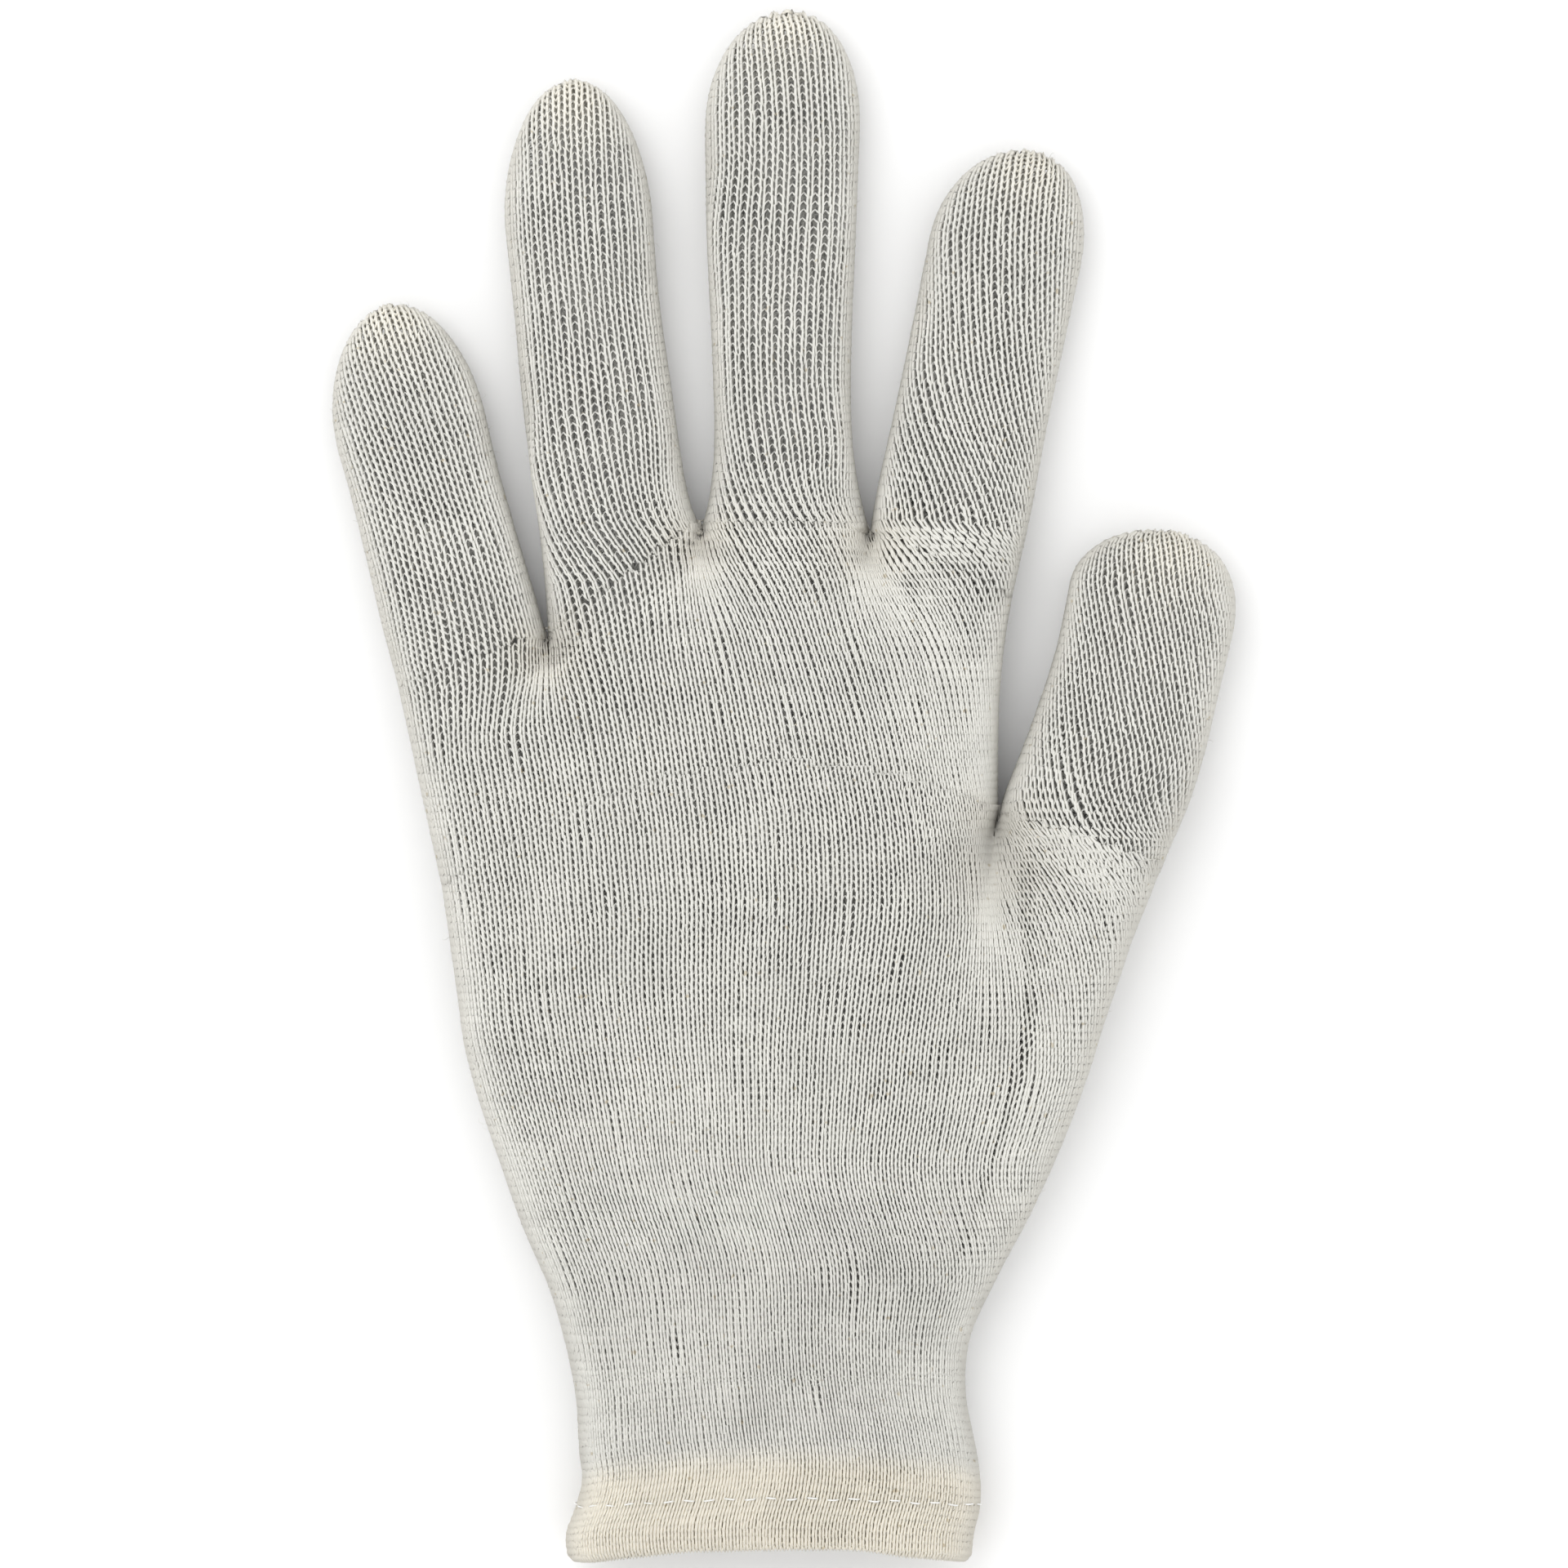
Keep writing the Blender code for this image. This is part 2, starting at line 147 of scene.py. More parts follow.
# Knitting: wales across half of the glove, the courses from which and to which their number
# changes to the wrist's, and course heights
PALM_WALES = FINGER_WALES * len(FINGERS)
KNIT_WALES = PALM_WALES + THUMB_WALES
FORK_BLEND = 22
WRIST_WALES = 69
WRIST_FROM = 52
WRIST_TO = 28
FINGER_COURSE = 1.34 * MM
PALM_COURSE = 1.25 * MM
COURSE_CHANGE = (120 * MM, 166 * MM)
COURSE_TABLE_TO = 400 * MM
COURSE_TABLE_STEP = 0.5 * MM
STRAIGHT_ABOVE = (5 * MM, 55 * MM)
CUFF_COURSES_BELOW = 30 * MM
COURSES_TURN_OVER = 12 * MM

# Yarn and its loops, in wales and courses unless in mm. Fullness is the share by which the yarn
# is thicker than its radius, at FULLNESS_AT across the palm and in crowded places.
YARN_RADIUS = 0.285 * MM
FULLNESS_AT = (0, 0.25, 0.45, 0.68, 0.9)
PALM_FULLNESS = (0.22, 0.2, 0.15, 0.02, 0.22)
HEM_FULLNESS = 0.15
LOOP_DEPTH = 0.2 * MM
LOOP_REACH = 0.9
LEG_PINCH = 0.1
PALM_GAP = 0.008
KNUCKLE_GAP = 0.045
KNUCKLE_FULLNESS = 0.14
PACKED_GAP = 0.8
PALM_FADE = 24
LEG_UPRIGHT = 0.25
FACE_STEPS = 6
UNDER_STEPS = 5
OVER_EDGE = 0.7
PUFF_FADE = 0.15
EDGE_WALES = 4.5
TIP_COURSES = 10
EDGE_FULLNESS = 0.24
ROOT_OVERLAP = 0.5
STEEP_BELOW = 0.85
STEEP_OVER = 0.3
CLOSING_COURSES = 2.2
CLOSING_FULLNESS = 0.8
ROUND_SHADE = 0.6

# Smooth random unevenness of one side: courses and wales from knot to knot, and its size
UNEVENNESS = {
    "sway": (12, 6, 0.1),
    "lift": (6, 7, 0.1),
    "jitter": (1, 0.5, 0.035),
    "swell": (1, 2.5, 0.07),
    "widen": (4, 2, 0.04),
    "puff": (9, 8, 0.3 * MM),
    "tone_and_shade": (1.5, 4, 0.8),
}

# Wales drawn together at each fork: the fork's wale, how many, and over how many they gather.
# THUMB_LEAN is where the thumb's sweep starts, is whole, starts to end and has ended.
# SETTLED_PLACES are wales past each finger's middle whose sweep at the root its tip keeps.
FORK_GATHERS = ((19, 3, 20), (40, 5, 24), (61, 7, 30))
THUMB_GATHER = (73, 11, 46)
SWEPT_WALES = sum(count for _, count, _ in FORK_GATHERS) + THUMB_GATHER[1]
LEAN_FROM = 112 * MM
LEAN_POWER = 2.1
THUMB_LEAN = (78 * MM, 118 * MM, 125 * MM, 160 * MM)
SETTLED_PLACES = (0, 3, 8, 15)
ROOT_SETTLE = 12

# Painted shade and tint: how cream and how dim the cotton is where it turns to the side, the dimming
# being painted shade on the side walls, at the wrist, where it is dimmer low on the hand, and in
# spots, whose places count from a fork or a tip: painted shade, dimmer and creamer, in the creases
# at the forks, and lighter and creamer at the tips. Turning counts from 0 for level cloth to 1 for
# upright cloth, and DIM_STEP is the brightness that one unit of dimness takes.
EDGE_CREAM = 0.35
EDGE_CREAM_FROM = 0.15
EDGE_DIM = 8.5
EDGE_DIM_FROM = 0.1
TURN_OVER = 0.6
WRIST_DIM = 3.5
WRIST_DIM_BELOW = 55
WRIST_DIM_OVER = 25
DIM_STEP = 0.02
Spot = namedtuple("Spot", "x y radius cream dim")
FORK_SPOT = Spot(0, -2 * MM, 6 * MM, 0.6, 3)
CROTCH_SPOT = Spot(0, -8 * MM, 8 * MM, 0.45, 12)
TIP_SPOT = Spot(0, 0, 9 * MM, 0.55, -7)
TIP_SPOT_BACK = 4

# Hem: half the distance between its layers, height of its first straight course over its lowest
# point, and the thread that holds it
FOLD_RADIUS = 0.75 * MM
HEM_EDGE = 1.2 * MM
HEM_COURSES = 8
HEM_RUN_OUT = 2
HEM_FADE = 4
HEM_CREAM_FADE = 5
HEM_EVENNESS = 0.6
FOLD_LEVELS = 5
THREAD_COURSE = 7.2
THREAD_SAG = 1.2
THREAD_WANDER = 0.12
THREAD_PITCH = 3
THREAD_STEEPNESS = 1.8
THREAD_OUT = 0.8 * MM
THREAD_RADIUS = 0.16 * MM
THREAD_STEPS = 4

# Loose fibres
FIBRES_A_SHEET = 18
FIBRE_LENGTH = (0.8 * MM, 2.4 * MM)
FIBRE_RADIUS = 0.035 * MM
FIBRE_TAPER = 0.6
FIBRE_STEPS = 3
FIBRE_EDGE_BIAS = 0.55
FIBRE_CURL = 1.2
FIBRE_RISE = (0.2, 0.6)
FIBRE_REACH = 0.7
FIBRE_ARC = 2.2

# Samples of the walls' grids
FINGER_HALF = 24
GRID_STEP = 1.0 * MM
UPPER_ROW_POWER = 1.3
LOWER_ROW_POWER = 1.1
CAP_TURN = 88
CAP_EXTRA_ROWS = 8
ARCH_SAMPLES = 241
MARGIN = 3
LEVELS = 2
SPARE_COURSES = 2
SPARE_WALES = 2
TWIST_SPARE_WALES = 6
BELOW_LAST = 1.001
VALLEY_SOFTNESS = 2.2
SOFTEN_RATE = 3
SPREAD = 2.6
FIELD_COURSES = 260
FIELD_WALES = 180
FIELD_START = 25

# Colours of the yarn with its painted light: painted highlight on top, painted shade deep in firm
# and in loose knitting, and the same where it is cream
YarnColours = namedtuple("YarnColours", "bright deep loose cream cream_deep")
COTTON = YarnColours("#EAE9E3", "#E6E5E0", "#C4C4BF", "#EAE5D9", "#E4DDCC")
THREAD = YarnColours("#F6F6F4", "#F0F0EE", "#F0F0EE", "#F6F6F4", "#F0F0EE")
SEED_SPECK = "#B7A57C"
PAPER = "#F7F7F7"

# Patterns in the yarn: width of a loose stretch with darker painted shade, of a patch of shade, from
# speck to speck, and of a fibre as coarse as it needs to show
LOOSE_STRETCH = 14.3 * MM
SHADE_PATCH = 11.1 * MM
SPECK_SPACING = 1.11 * MM
FIBRE_GRAIN = 0.167 * MM

# Stage in metres and degrees. The view is as wide as the photo at the height of VIEW_PLANE.
FLOOR_REACH = 3.0
SKY_STRENGTH = 1.12
LAMP_SIZE = 0.9
LAMP_ENERGY = 3
LAMP_AT = (-0.45, 0.35, 1.1)
LAMP_TURN = (-17, -22, 0)
CAMERA_HEIGHT = 1.6
SENSOR_WIDTH = 36
PHOTO_PIXELS = 1920
PIXEL = 0.13075 * MM
VIEW_PLANE = 10 * MM
NEAREST_SEEN = 10 * MM


def curve_through(x, knots, values):
    """Cubic curve through the knots whose slope at each is the mean slope about it."""
    knots = np.asarray(knots, float)
    values = np.asarray(values, float)
    slopes = np.gradient(values, knots)
    x = np.clip(x, knots[0], knots[-1])
    i = np.clip(np.searchsorted(knots, x) - 1, 0, len(knots) - 2)
    gap = knots[i + 1] - knots[i]
    s = (x - knots[i]) / gap
    return (
        values[i] * (1 + 2 * s) * (1 - s) ** 2
        + values[i + 1] * s**2 * (3 - 2 * s)
        + gap * slopes[i] * s * (1 - s) ** 2
        - gap * slopes[i + 1] * s**2 * (1 - s)
    )


def smooth_step(share):
    """0 to 1 with level ends."""
    share = np.clip(share, 0, 1)
    return share * share * (3 - 2 * share)


def unit(vectors):
    """Vectors along the last axis, each scaled to length one."""
    return vectors / np.maximum(np.linalg.norm(vectors, axis=-1, keepdims=True), 1e-12)


def half_arcs(half, height, exponent, columns):
    """Upper halves of superellipses, one a row, each at equal steps of its own length.

    Across is the cosine of an angle and rise its sine, both to the power of two over the exponent.
    """
    angle = np.linspace(0, math.pi, ARCH_SAMPLES)
    cosine = np.cos(angle)
    across = -np.sign(cosine) * np.abs(cosine) ** (2 / exponent) * half[:, None]
    rise = np.sin(angle).clip(0) ** (2 / exponent) * height[:, None]
    steps = np.hypot(np.diff(across), np.diff(rise))
    length = np.concatenate([np.zeros((len(half), 1)), np.cumsum(steps, axis=1)], axis=1)
    shares = np.linspace(0, 1, columns + 1) * length[:, -1:]
    across = np.array([np.interp(*row) for row in zip(shares, length, across)])
    rise = np.array([np.interp(*row) for row in zip(shares, length, rise)])
    return across, rise


def half_sections(left, right, level, thickness, swell, crown, columns):
    """Upper and under halves of cross-sections between side points, one a row.

    The upper half is a superellipse above the level, the under half a squarer one below it, cut
    off flat at the surface that the glove lies on.
    """
    centre = (left + right) / 2
    half = np.linalg.norm(right - left, axis=1) / 2
    along = unit(right - left)
    halves = []
    for height, exponent, sign in (
        (thickness - level, crown, 1),
        (level * FLATTENING, UNDERSIDE, -1),
    ):
        across, rise = half_arcs(half, height * swell, exponent, columns)
        flat = centre[:, None] + across[..., None] * along[:, None]
        up = np.maximum(level[:, None] + sign * rise, 0)
        halves.append(np.concatenate([flat, up[..., None]], axis=2))
    return halves


def knuckle_points():
    """The knuckle line's two ends and three forks."""
    spans = [finger.width * finger.root_share for finger in FINGERS]
    across = KNUCKLE_SHIFT - sum(spans) / 2 + np.concatenate([[0], np.cumsum(spans)])
    drops = np.array(KNUCKLE_DROPS) * FORK_TO_THUMB_FORK
    return np.column_stack([across, PALM_LENGTH - drops])


def thumb_root_points():
    """The thumb's fork and the outer end of its root line."""
    fork_y = PALM_LENGTH - FORK_TO_THUMB_FORK
    return np.array([(FORK_RIGHT_REACH, fork_y), (THUMB_SIDE_REACH, fork_y - THUMB_ROOT_DROP)])


def finger_halves(finger, root_left, root_right, body_thickness):
    """A finger's halves from its root line to its tip, whose cap is a quarter turn."""
    lean = math.radians(finger.lean)
    axis = np.array([math.sin(lean), math.cos(lean)])
    side = np.array([math.cos(lean), -math.sin(lean)])
    cap_start = 1 - finger.cap * finger.width / finger.length
    body = np.linspace(0, cap_start, round(finger.length * cap_start / GRID_STEP), endpoint=False)
    cap_rows = round(finger.cap * finger.width / GRID_STEP) + CAP_EXTRA_ROWS
    turn = np.linspace(0, math.radians(CAP_TURN), cap_rows)
    along = np.concatenate([body, cap_start + (1 - cap_start) * np.sin(turn)])
    swell = np.concatenate([np.ones_like(body), np.cos(turn)])
    in_cap = np.concatenate([np.zeros_like(body), np.sin(turn)])
    width = curve_through(along, WIDTHS_AT, finger.widths) * finger.width * swell
    aside = (4 * along * (1 - along) * finger.bow + finger.tip_shift * in_cap**2) * finger.width
    move = axis * (along * finger.length)[:, None]
    centre = (root_left + root_right) / 2 + move + side * aside[:, None]
    at_root = ((1 - np.minimum(along / ROOT_LINE_BLEND, 1)) ** ROOT_LINE_POWER)[:, None]
    reach = side * (width / 2)[:, None]
    left = (1 - at_root) * (centre - reach) + at_root * (root_left + move)
    right = (1 - at_root) * (centre + reach) + at_root * (root_right + move)
    thin = smooth_step(along / THICKNESS_BLEND)
    root_thickness = body_thickness * ROOT_THICKNESS_SHARE
    thickness = root_thickness + (finger.thickness - root_thickness) * thin
    level = LEVEL_SHARE * (body_thickness + (finger.thickness - body_thickness) * thin)
    return half_sections(left, right, level, thickness, swell, FINGER_CROWN, FINGER_HALF)


def bent_halves(left, right, rise, thickness, columns):
    """Palm sections whose rows arch along the hand by rise at their middles."""
    level = LEVEL_SHARE * thickness
    ones = np.ones(len(left))
    halves = half_sections(left, right, level, thickness, ones, PALM_CROWN, columns)
    half = np.linalg.norm(right - left, axis=1) / 2
    for grid in halves:
        off = np.linalg.norm(grid[:, :, :2] - ((left + right) / 2)[:, None], axis=2)
        grid[:, :, 1] += rise[:, None] * (1 - np.clip(off / half[:, None], 0, 1) ** 2)
    return halves


def faded(top_halves, full_halves, depths, web, settle):
    """Rows below a fork line. Valleys open over the web along a smooth step and soften with it.

    The rest of the fork line's shape settles along a smooth step. A valley's softening is a
    weighted mean over its columns, with weights that fall as a bell curve.
    """
    grids = []
    count = top_halves[0].shape[0]
    apart = np.subtract.outer(np.arange(count), np.arange(count))
    bell = np.exp(-0.5 * (apart / VALLEY_SOFTNESS) ** 2)
    bell /= bell.sum(axis=1, keepdims=True)
    opened = smooth_step(depths / web)[:, None]
    settled = smooth_step(depths / settle)[:, None]
    spread = smooth_step(depths / web / SPREAD)[:, None]
    softened = smooth_step(depths / web * SOFTEN_RATE)[:, None]
    for top, full, outward in zip(top_halves, full_halves, (1, -1)):
        difference = top - full[0]
        soft = bell @ difference
        mixed = difference + (soft - difference) * softened[:, :, None]
        eased = np.where(difference[:, 2] * outward < 0, opened, settled)
        grid = full.copy()
        grid[:, :, 0] += mixed[:, :, 0] * (1 - spread)
        grid[:, :, 1] += difference[:, 1] * (1 - settled)
        grid[:, :, 2] += mixed[:, :, 2] * (1 - eased)
        grids.append(grid)
    return grids


def upper_palm_halves(knuckles, ends):
    """The four-finger palm, from the knuckle line down to the row of the thumb's fork."""
    fork = thumb_root_points()[0]
    fork_left = np.array([-FORK_LEFT_REACH, fork[1] - FORK_ROW_LEFT_DROP])
    down = np.linspace(0, 1, round(FORK_TO_THUMB_FORK / GRID_STEP)) ** UPPER_ROW_POWER
    right_out = curve_through(down, UPPER_DOWN, UPPER_RIGHT)
    left = ends[0] + (fork_left - ends[0]) * down[:, None]
    right = ends[1] + (fork - ends[1]) * np.column_stack([right_out, down])
    top_arch = PALM_LENGTH - ends.mean(axis=0)[1]
    rise = top_arch + (FORK_ROW_ARCH - top_arch) * down
    thickness = KNUCKLE_THICKNESS + (PALM_THICKNESS - KNUCKLE_THICKNESS) * down
    full = bent_halves(left, right, rise, thickness, FINGER_HALF * len(FINGERS))
    return faded(knuckles, full, down * FORK_TO_THUMB_FORK, FINGER_WEB, FORK_TO_THUMB_FORK)


def wrist_sections(down, start_left, start_right):
    """Sections of the hand at shares of the way from the thumb's fork to the cuff's edge."""
    half_wrist = WRIST_WIDTH / 2
    left_out = curve_through(down, LOWER_DOWN, LOWER_LEFT)
    right_out = curve_through(down, LOWER_DOWN, LOWER_RIGHT)
    left = np.column_stack([
        -half_wrist + (start_left[0] + half_wrist) * left_out,
        start_left[1] * (1 - down),
    ])
    right = np.column_stack([
        half_wrist + (start_right[0] - half_wrist) * right_out,
        start_right[1] * (1 - down),
    ])
    rise = FORK_ROW_ARCH + (CUFF_EDGE_ARCH - FORK_ROW_ARCH) * down
    thin = smooth_step(down / WRIST_AT)
    thickness = PALM_THICKNESS + (WRIST_THICKNESS - PALM_THICKNESS) * thin
    return bent_halves(left, right, rise, thickness, FINGER_HALF * (len(FINGERS) + 1))


def lower_palm_halves(fork_row):
    """The palm with the thumb's base, from the thumb's fork to the cuff's edge."""
    length = PALM_LENGTH - FORK_TO_THUMB_FORK
    down = np.linspace(0, 1, round(length / GRID_STEP)) ** LOWER_ROW_POWER
    full = wrist_sections(down, fork_row[0][0, :2], fork_row[0][-1, :2])
    return faded(fork_row, full, down * length, THUMB_WEB, length * WRIST_AT)


def joined(rows):
    """Rows whose ends meet, as one row."""
    return np.concatenate([rows[0]] + [row[1:] for row in rows[1:]])


def course_at(y):
    """Course number at a height up the hand: the height over the course's own, which grows."""
    heights = np.arange(0, COURSE_TABLE_TO, COURSE_TABLE_STEP)
    low, high = COURSE_CHANGE
    change = smooth_step((heights - low) / (high - low))
    course = PALM_COURSE + (FINGER_COURSE - PALM_COURSE) * change
    numbers = np.concatenate([[0], np.cumsum(COURSE_TABLE_STEP / course[:-1])])
    return np.interp(y - HEM_EDGE, heights, numbers)


def palm_courses(points, move):
    """Course numbers on the palm: level across the hand, but along the rows at the cuff."""
    y = points[..., 1] - move[1]
    middle = y[:, y.shape[1] // 2][:, None]
    low, high = STRAIGHT_ABOVE
    level = smooth_step((middle - low) / (high - low))
    from_middle = course_at(middle)
    below = (y - HEM_EDGE) / PALM_COURSE
    near_cuff = (middle - CUFF_EDGE_ARCH - HEM_EDGE) / PALM_COURSE
    return np.where(
        y < CUFF_COURSES_BELOW,
        near_cuff + (below - near_cuff) * level,
        from_middle + (course_at(y) - from_middle) * level,
    )


def finger_courses(points, move, lean):
    """Course numbers on a finger: level at its root, square to the finger's line above it."""
    middle = points[:, points.shape[1] // 2]
    run = np.linalg.norm(np.diff(middle, axis=0), axis=1)
    length = np.concatenate([[0], np.cumsum(run)])
    turn = math.radians(lean) * smooth_step(length / COURSES_TURN_OVER)
    ahead = np.column_stack([np.sin(turn), np.cos(turn)])
    beyond = ((points[..., :2] - middle[:, None, :2]) * ahead[:, None]).sum(axis=2)
    start = course_at(middle[0, 1] - move[1])
    return start + (length[:, None] + beyond) / FINGER_COURSE


class Sheet:
    """One side of a wall, laid out by course number instead of by its own rows.

    Columns run from the left edge to the right, with a few more round each edge. Every column is
    sampled anew at equal steps of its course numbers, and drawn on a few courses past its ends.
    """

    def __init__(self, ring, normal, upper, course_of):
        self.half = ring.shape[1] // 2
        places = np.arange(-MARGIN, self.half + MARGIN + 1) * (1 if upper else -1)
        points = ring[:, places % ring.shape[1]]
        normals = normal[:, places % ring.shape[1]]
        courses = course_of(points)
        inner = points[:, MARGIN:MARGIN + self.half + 1]
        self.arc = np.linalg.norm(np.diff(inner, axis=1), axis=2).sum(axis=1)
        self.width = np.linalg.norm(inner[:, -1] - inner[:, 0], axis=1)
        self.row_courses = courses[:, courses.shape[1] // 2]
        self.first = courses[0]
        self.last = courses[-1]
        self.start = math.floor(courses.min()) - SPARE_COURSES
        end = math.ceil(courses.max()) + SPARE_COURSES + 1
        levels = np.arange(self.start, end, 1 / LEVELS)
        low = (SPARE_COURSES / (courses[1] - courses[0]))[:, None]
        high = (SPARE_COURSES / (courses[-1] - courses[-2]))[:, None]
        points = np.concatenate([
            [points[0] - (points[1] - points[0]) * low],
            points,
            [points[-1] + (points[-1] - points[-2]) * high],
        ])
        normals = np.concatenate([normals[:1], normals, normals[-1:]])
        courses = np.concatenate([
            courses[:1] - SPARE_COURSES,
            courses,
            courses[-1:] + SPARE_COURSES,
        ])
        widths = np.concatenate([self.width[:1], self.width, self.width[-1:]])[:, None, None]
        widths = np.broadcast_to(widths, courses.shape + (1,))
        values = np.concatenate([points, normals, widths], axis=2)
        self.grid = np.stack([
            [np.interp(levels, courses[:, i], values[:, i, k]) for k in range(values.shape[2])]
            for i in range(values.shape[1])
        ]).transpose(2, 0, 1)

    def turned_up(self):
        """The sheet with its lower end folded under and up inside, for the hem.

        The fold is a half circle between the layers' middles, and the inner layer is the outer
        one moved in by the wall and the fold's width, facing inward.
        """
        zero = -self.start * LEVELS
        outer = self.grid[zero:]
        points, normals = outer[..., :3], unit(outer[..., 3:6])
        down = unit(points[0] - points[2])
        angle = np.linspace(math.pi, 0, FOLD_LEVELS + 1)[:-1, None, None]
        turn = normals[0] * np.cos(angle) + down * np.sin(angle)
        centre = points[0] - normals[0] * (WALL / 2 + FOLD_RADIUS)
        fold = centre + turn * (FOLD_RADIUS + WALL / 2)
        widths = np.broadcast_to(outer[:1, :, 6:], fold.shape[:2] + (1,))
        fold = np.concatenate([fold, turn, widths], axis=2)
        rows = slice(HEM_COURSES * LEVELS, 0, -1)
        inward = points[rows] - normals[rows] * (WALL + 2 * FOLD_RADIUS)
        inner = np.concatenate([inward, -normals[rows], outer[rows, :, 6:]], axis=2)
        folded = copy.copy(self)
        folded.grid = np.concatenate([inner, fold, outer])
        folded.start = -HEM_COURSES - FOLD_LEVELS / LEVELS
        folded.first = np.full_like(self.first, folded.start)
        return folded

    def width_at(self, course, share):
        """Straight distance between the ends of the row there."""
        level = np.clip((course - self.start) * LEVELS, 0, len(self.grid) - 1).astype(int)
        column = np.clip(share * self.half + MARGIN, 0, self.grid.shape[1] - 1).astype(int)
        return self.grid[level, column, 6]

    def at(self, course, share):
        """Points, normals, and first and last course there, at courses and shares of the width."""
        level = np.clip((course - self.start) * LEVELS, 0, len(self.grid) - BELOW_LAST)
        column = np.clip(share * self.half + MARGIN, 0, self.grid.shape[1] - BELOW_LAST)
        i = level.astype(int)
        j = column.astype(int)
        up = (level - i)[..., None]
        over = (column - j)[..., None]
        low = self.grid[i, j] * (1 - over) + self.grid[i, j + 1] * over
        high = self.grid[i + 1, j] * (1 - over) + self.grid[i + 1, j + 1] * over
        value = low * (1 - up) + high * up
        over = over[..., 0]
        first = self.first[j] * (1 - over) + self.first[j + 1] * over
        last = self.last[j] * (1 - over) + self.last[j + 1] * over
        return value[..., :3], unit(value[..., 3:6]), first, last


def wall_sheets(halves, move, rows_run_up, course_of):
    """Upper and under sheets of a wall."""
    upper, under = halves
    ring = np.concatenate([upper[:, :-1], under[:, :0:-1]], axis=1) + move
    if not rows_run_up:
        ring = ring[::-1]
    across = np.roll(ring, -1, axis=1) - np.roll(ring, 1, axis=1)
    along = np.gradient(ring, axis=0)
    normal = unit(np.cross(across, along))
    return Sheet(ring, normal, True, course_of), Sheet(ring, normal, False, course_of)


def soft_noise(random, rows, columns, cell):
    """Smooth random field of unit size: random knots every cell samples, mixed between."""
    knots = random.normal(size=(int(rows / cell[0]) + 3, int(columns / cell[1]) + 3))
    y = np.arange(rows) / cell[0]
    x = np.arange(columns) / cell[1]
    i = y.astype(int)
    j = x.astype(int)
    s = smooth_step(y - i)[:, None]
    t = smooth_step(x - j)[None, :]
    low = knots[i][:, j] * (1 - t) + knots[i][:, j + 1] * t
    high = knots[i + 1][:, j] * (1 - t) + knots[i + 1][:, j + 1] * t
    return low * (1 - s) + high * s


def yarn_unevenness(random, steps):
    """Random fields over all courses and wales of one side of the glove, at its steps a wale."""
    columns = FIELD_WALES * steps
    return {
        key: soft_noise(random, FIELD_COURSES, columns, (courses, wales * steps)) * size
        for key, (courses, wales, size) in UNEVENNESS.items()
    }


def hem_share(course, fade):
    """1 in the hem and 0 above it, along a smooth step of as many courses as fade says."""
    return smooth_step((HEM_DEPTH / PALM_COURSE + HEM_RUN_OUT - course) / fade)


def turned_share(paths, start):
    """0 where the cloth lies level, to 1 where it has turned to the side, along a smooth step."""
    turned = 1 - np.abs(paths["normal"][..., 2])
    return smooth_step((turned - start) / TURN_OVER)


def packed_share(sheet, share, number, seamed_above):
    """How far the loops crowd: 1 at the side edges and at a tip, falling along smooth steps."""
    edge = np.minimum(share, 1 - share) * sheet.half / FINGER_HALF * FINGER_WALES
    packed = 1 - smooth_step(edge / EDGE_WALES)
    if seamed_above:
        return packed
    below_tip = sheet.row_courses[-1] - number
    return np.maximum(packed, 1 - smooth_step(below_tip / TIP_COURSES))


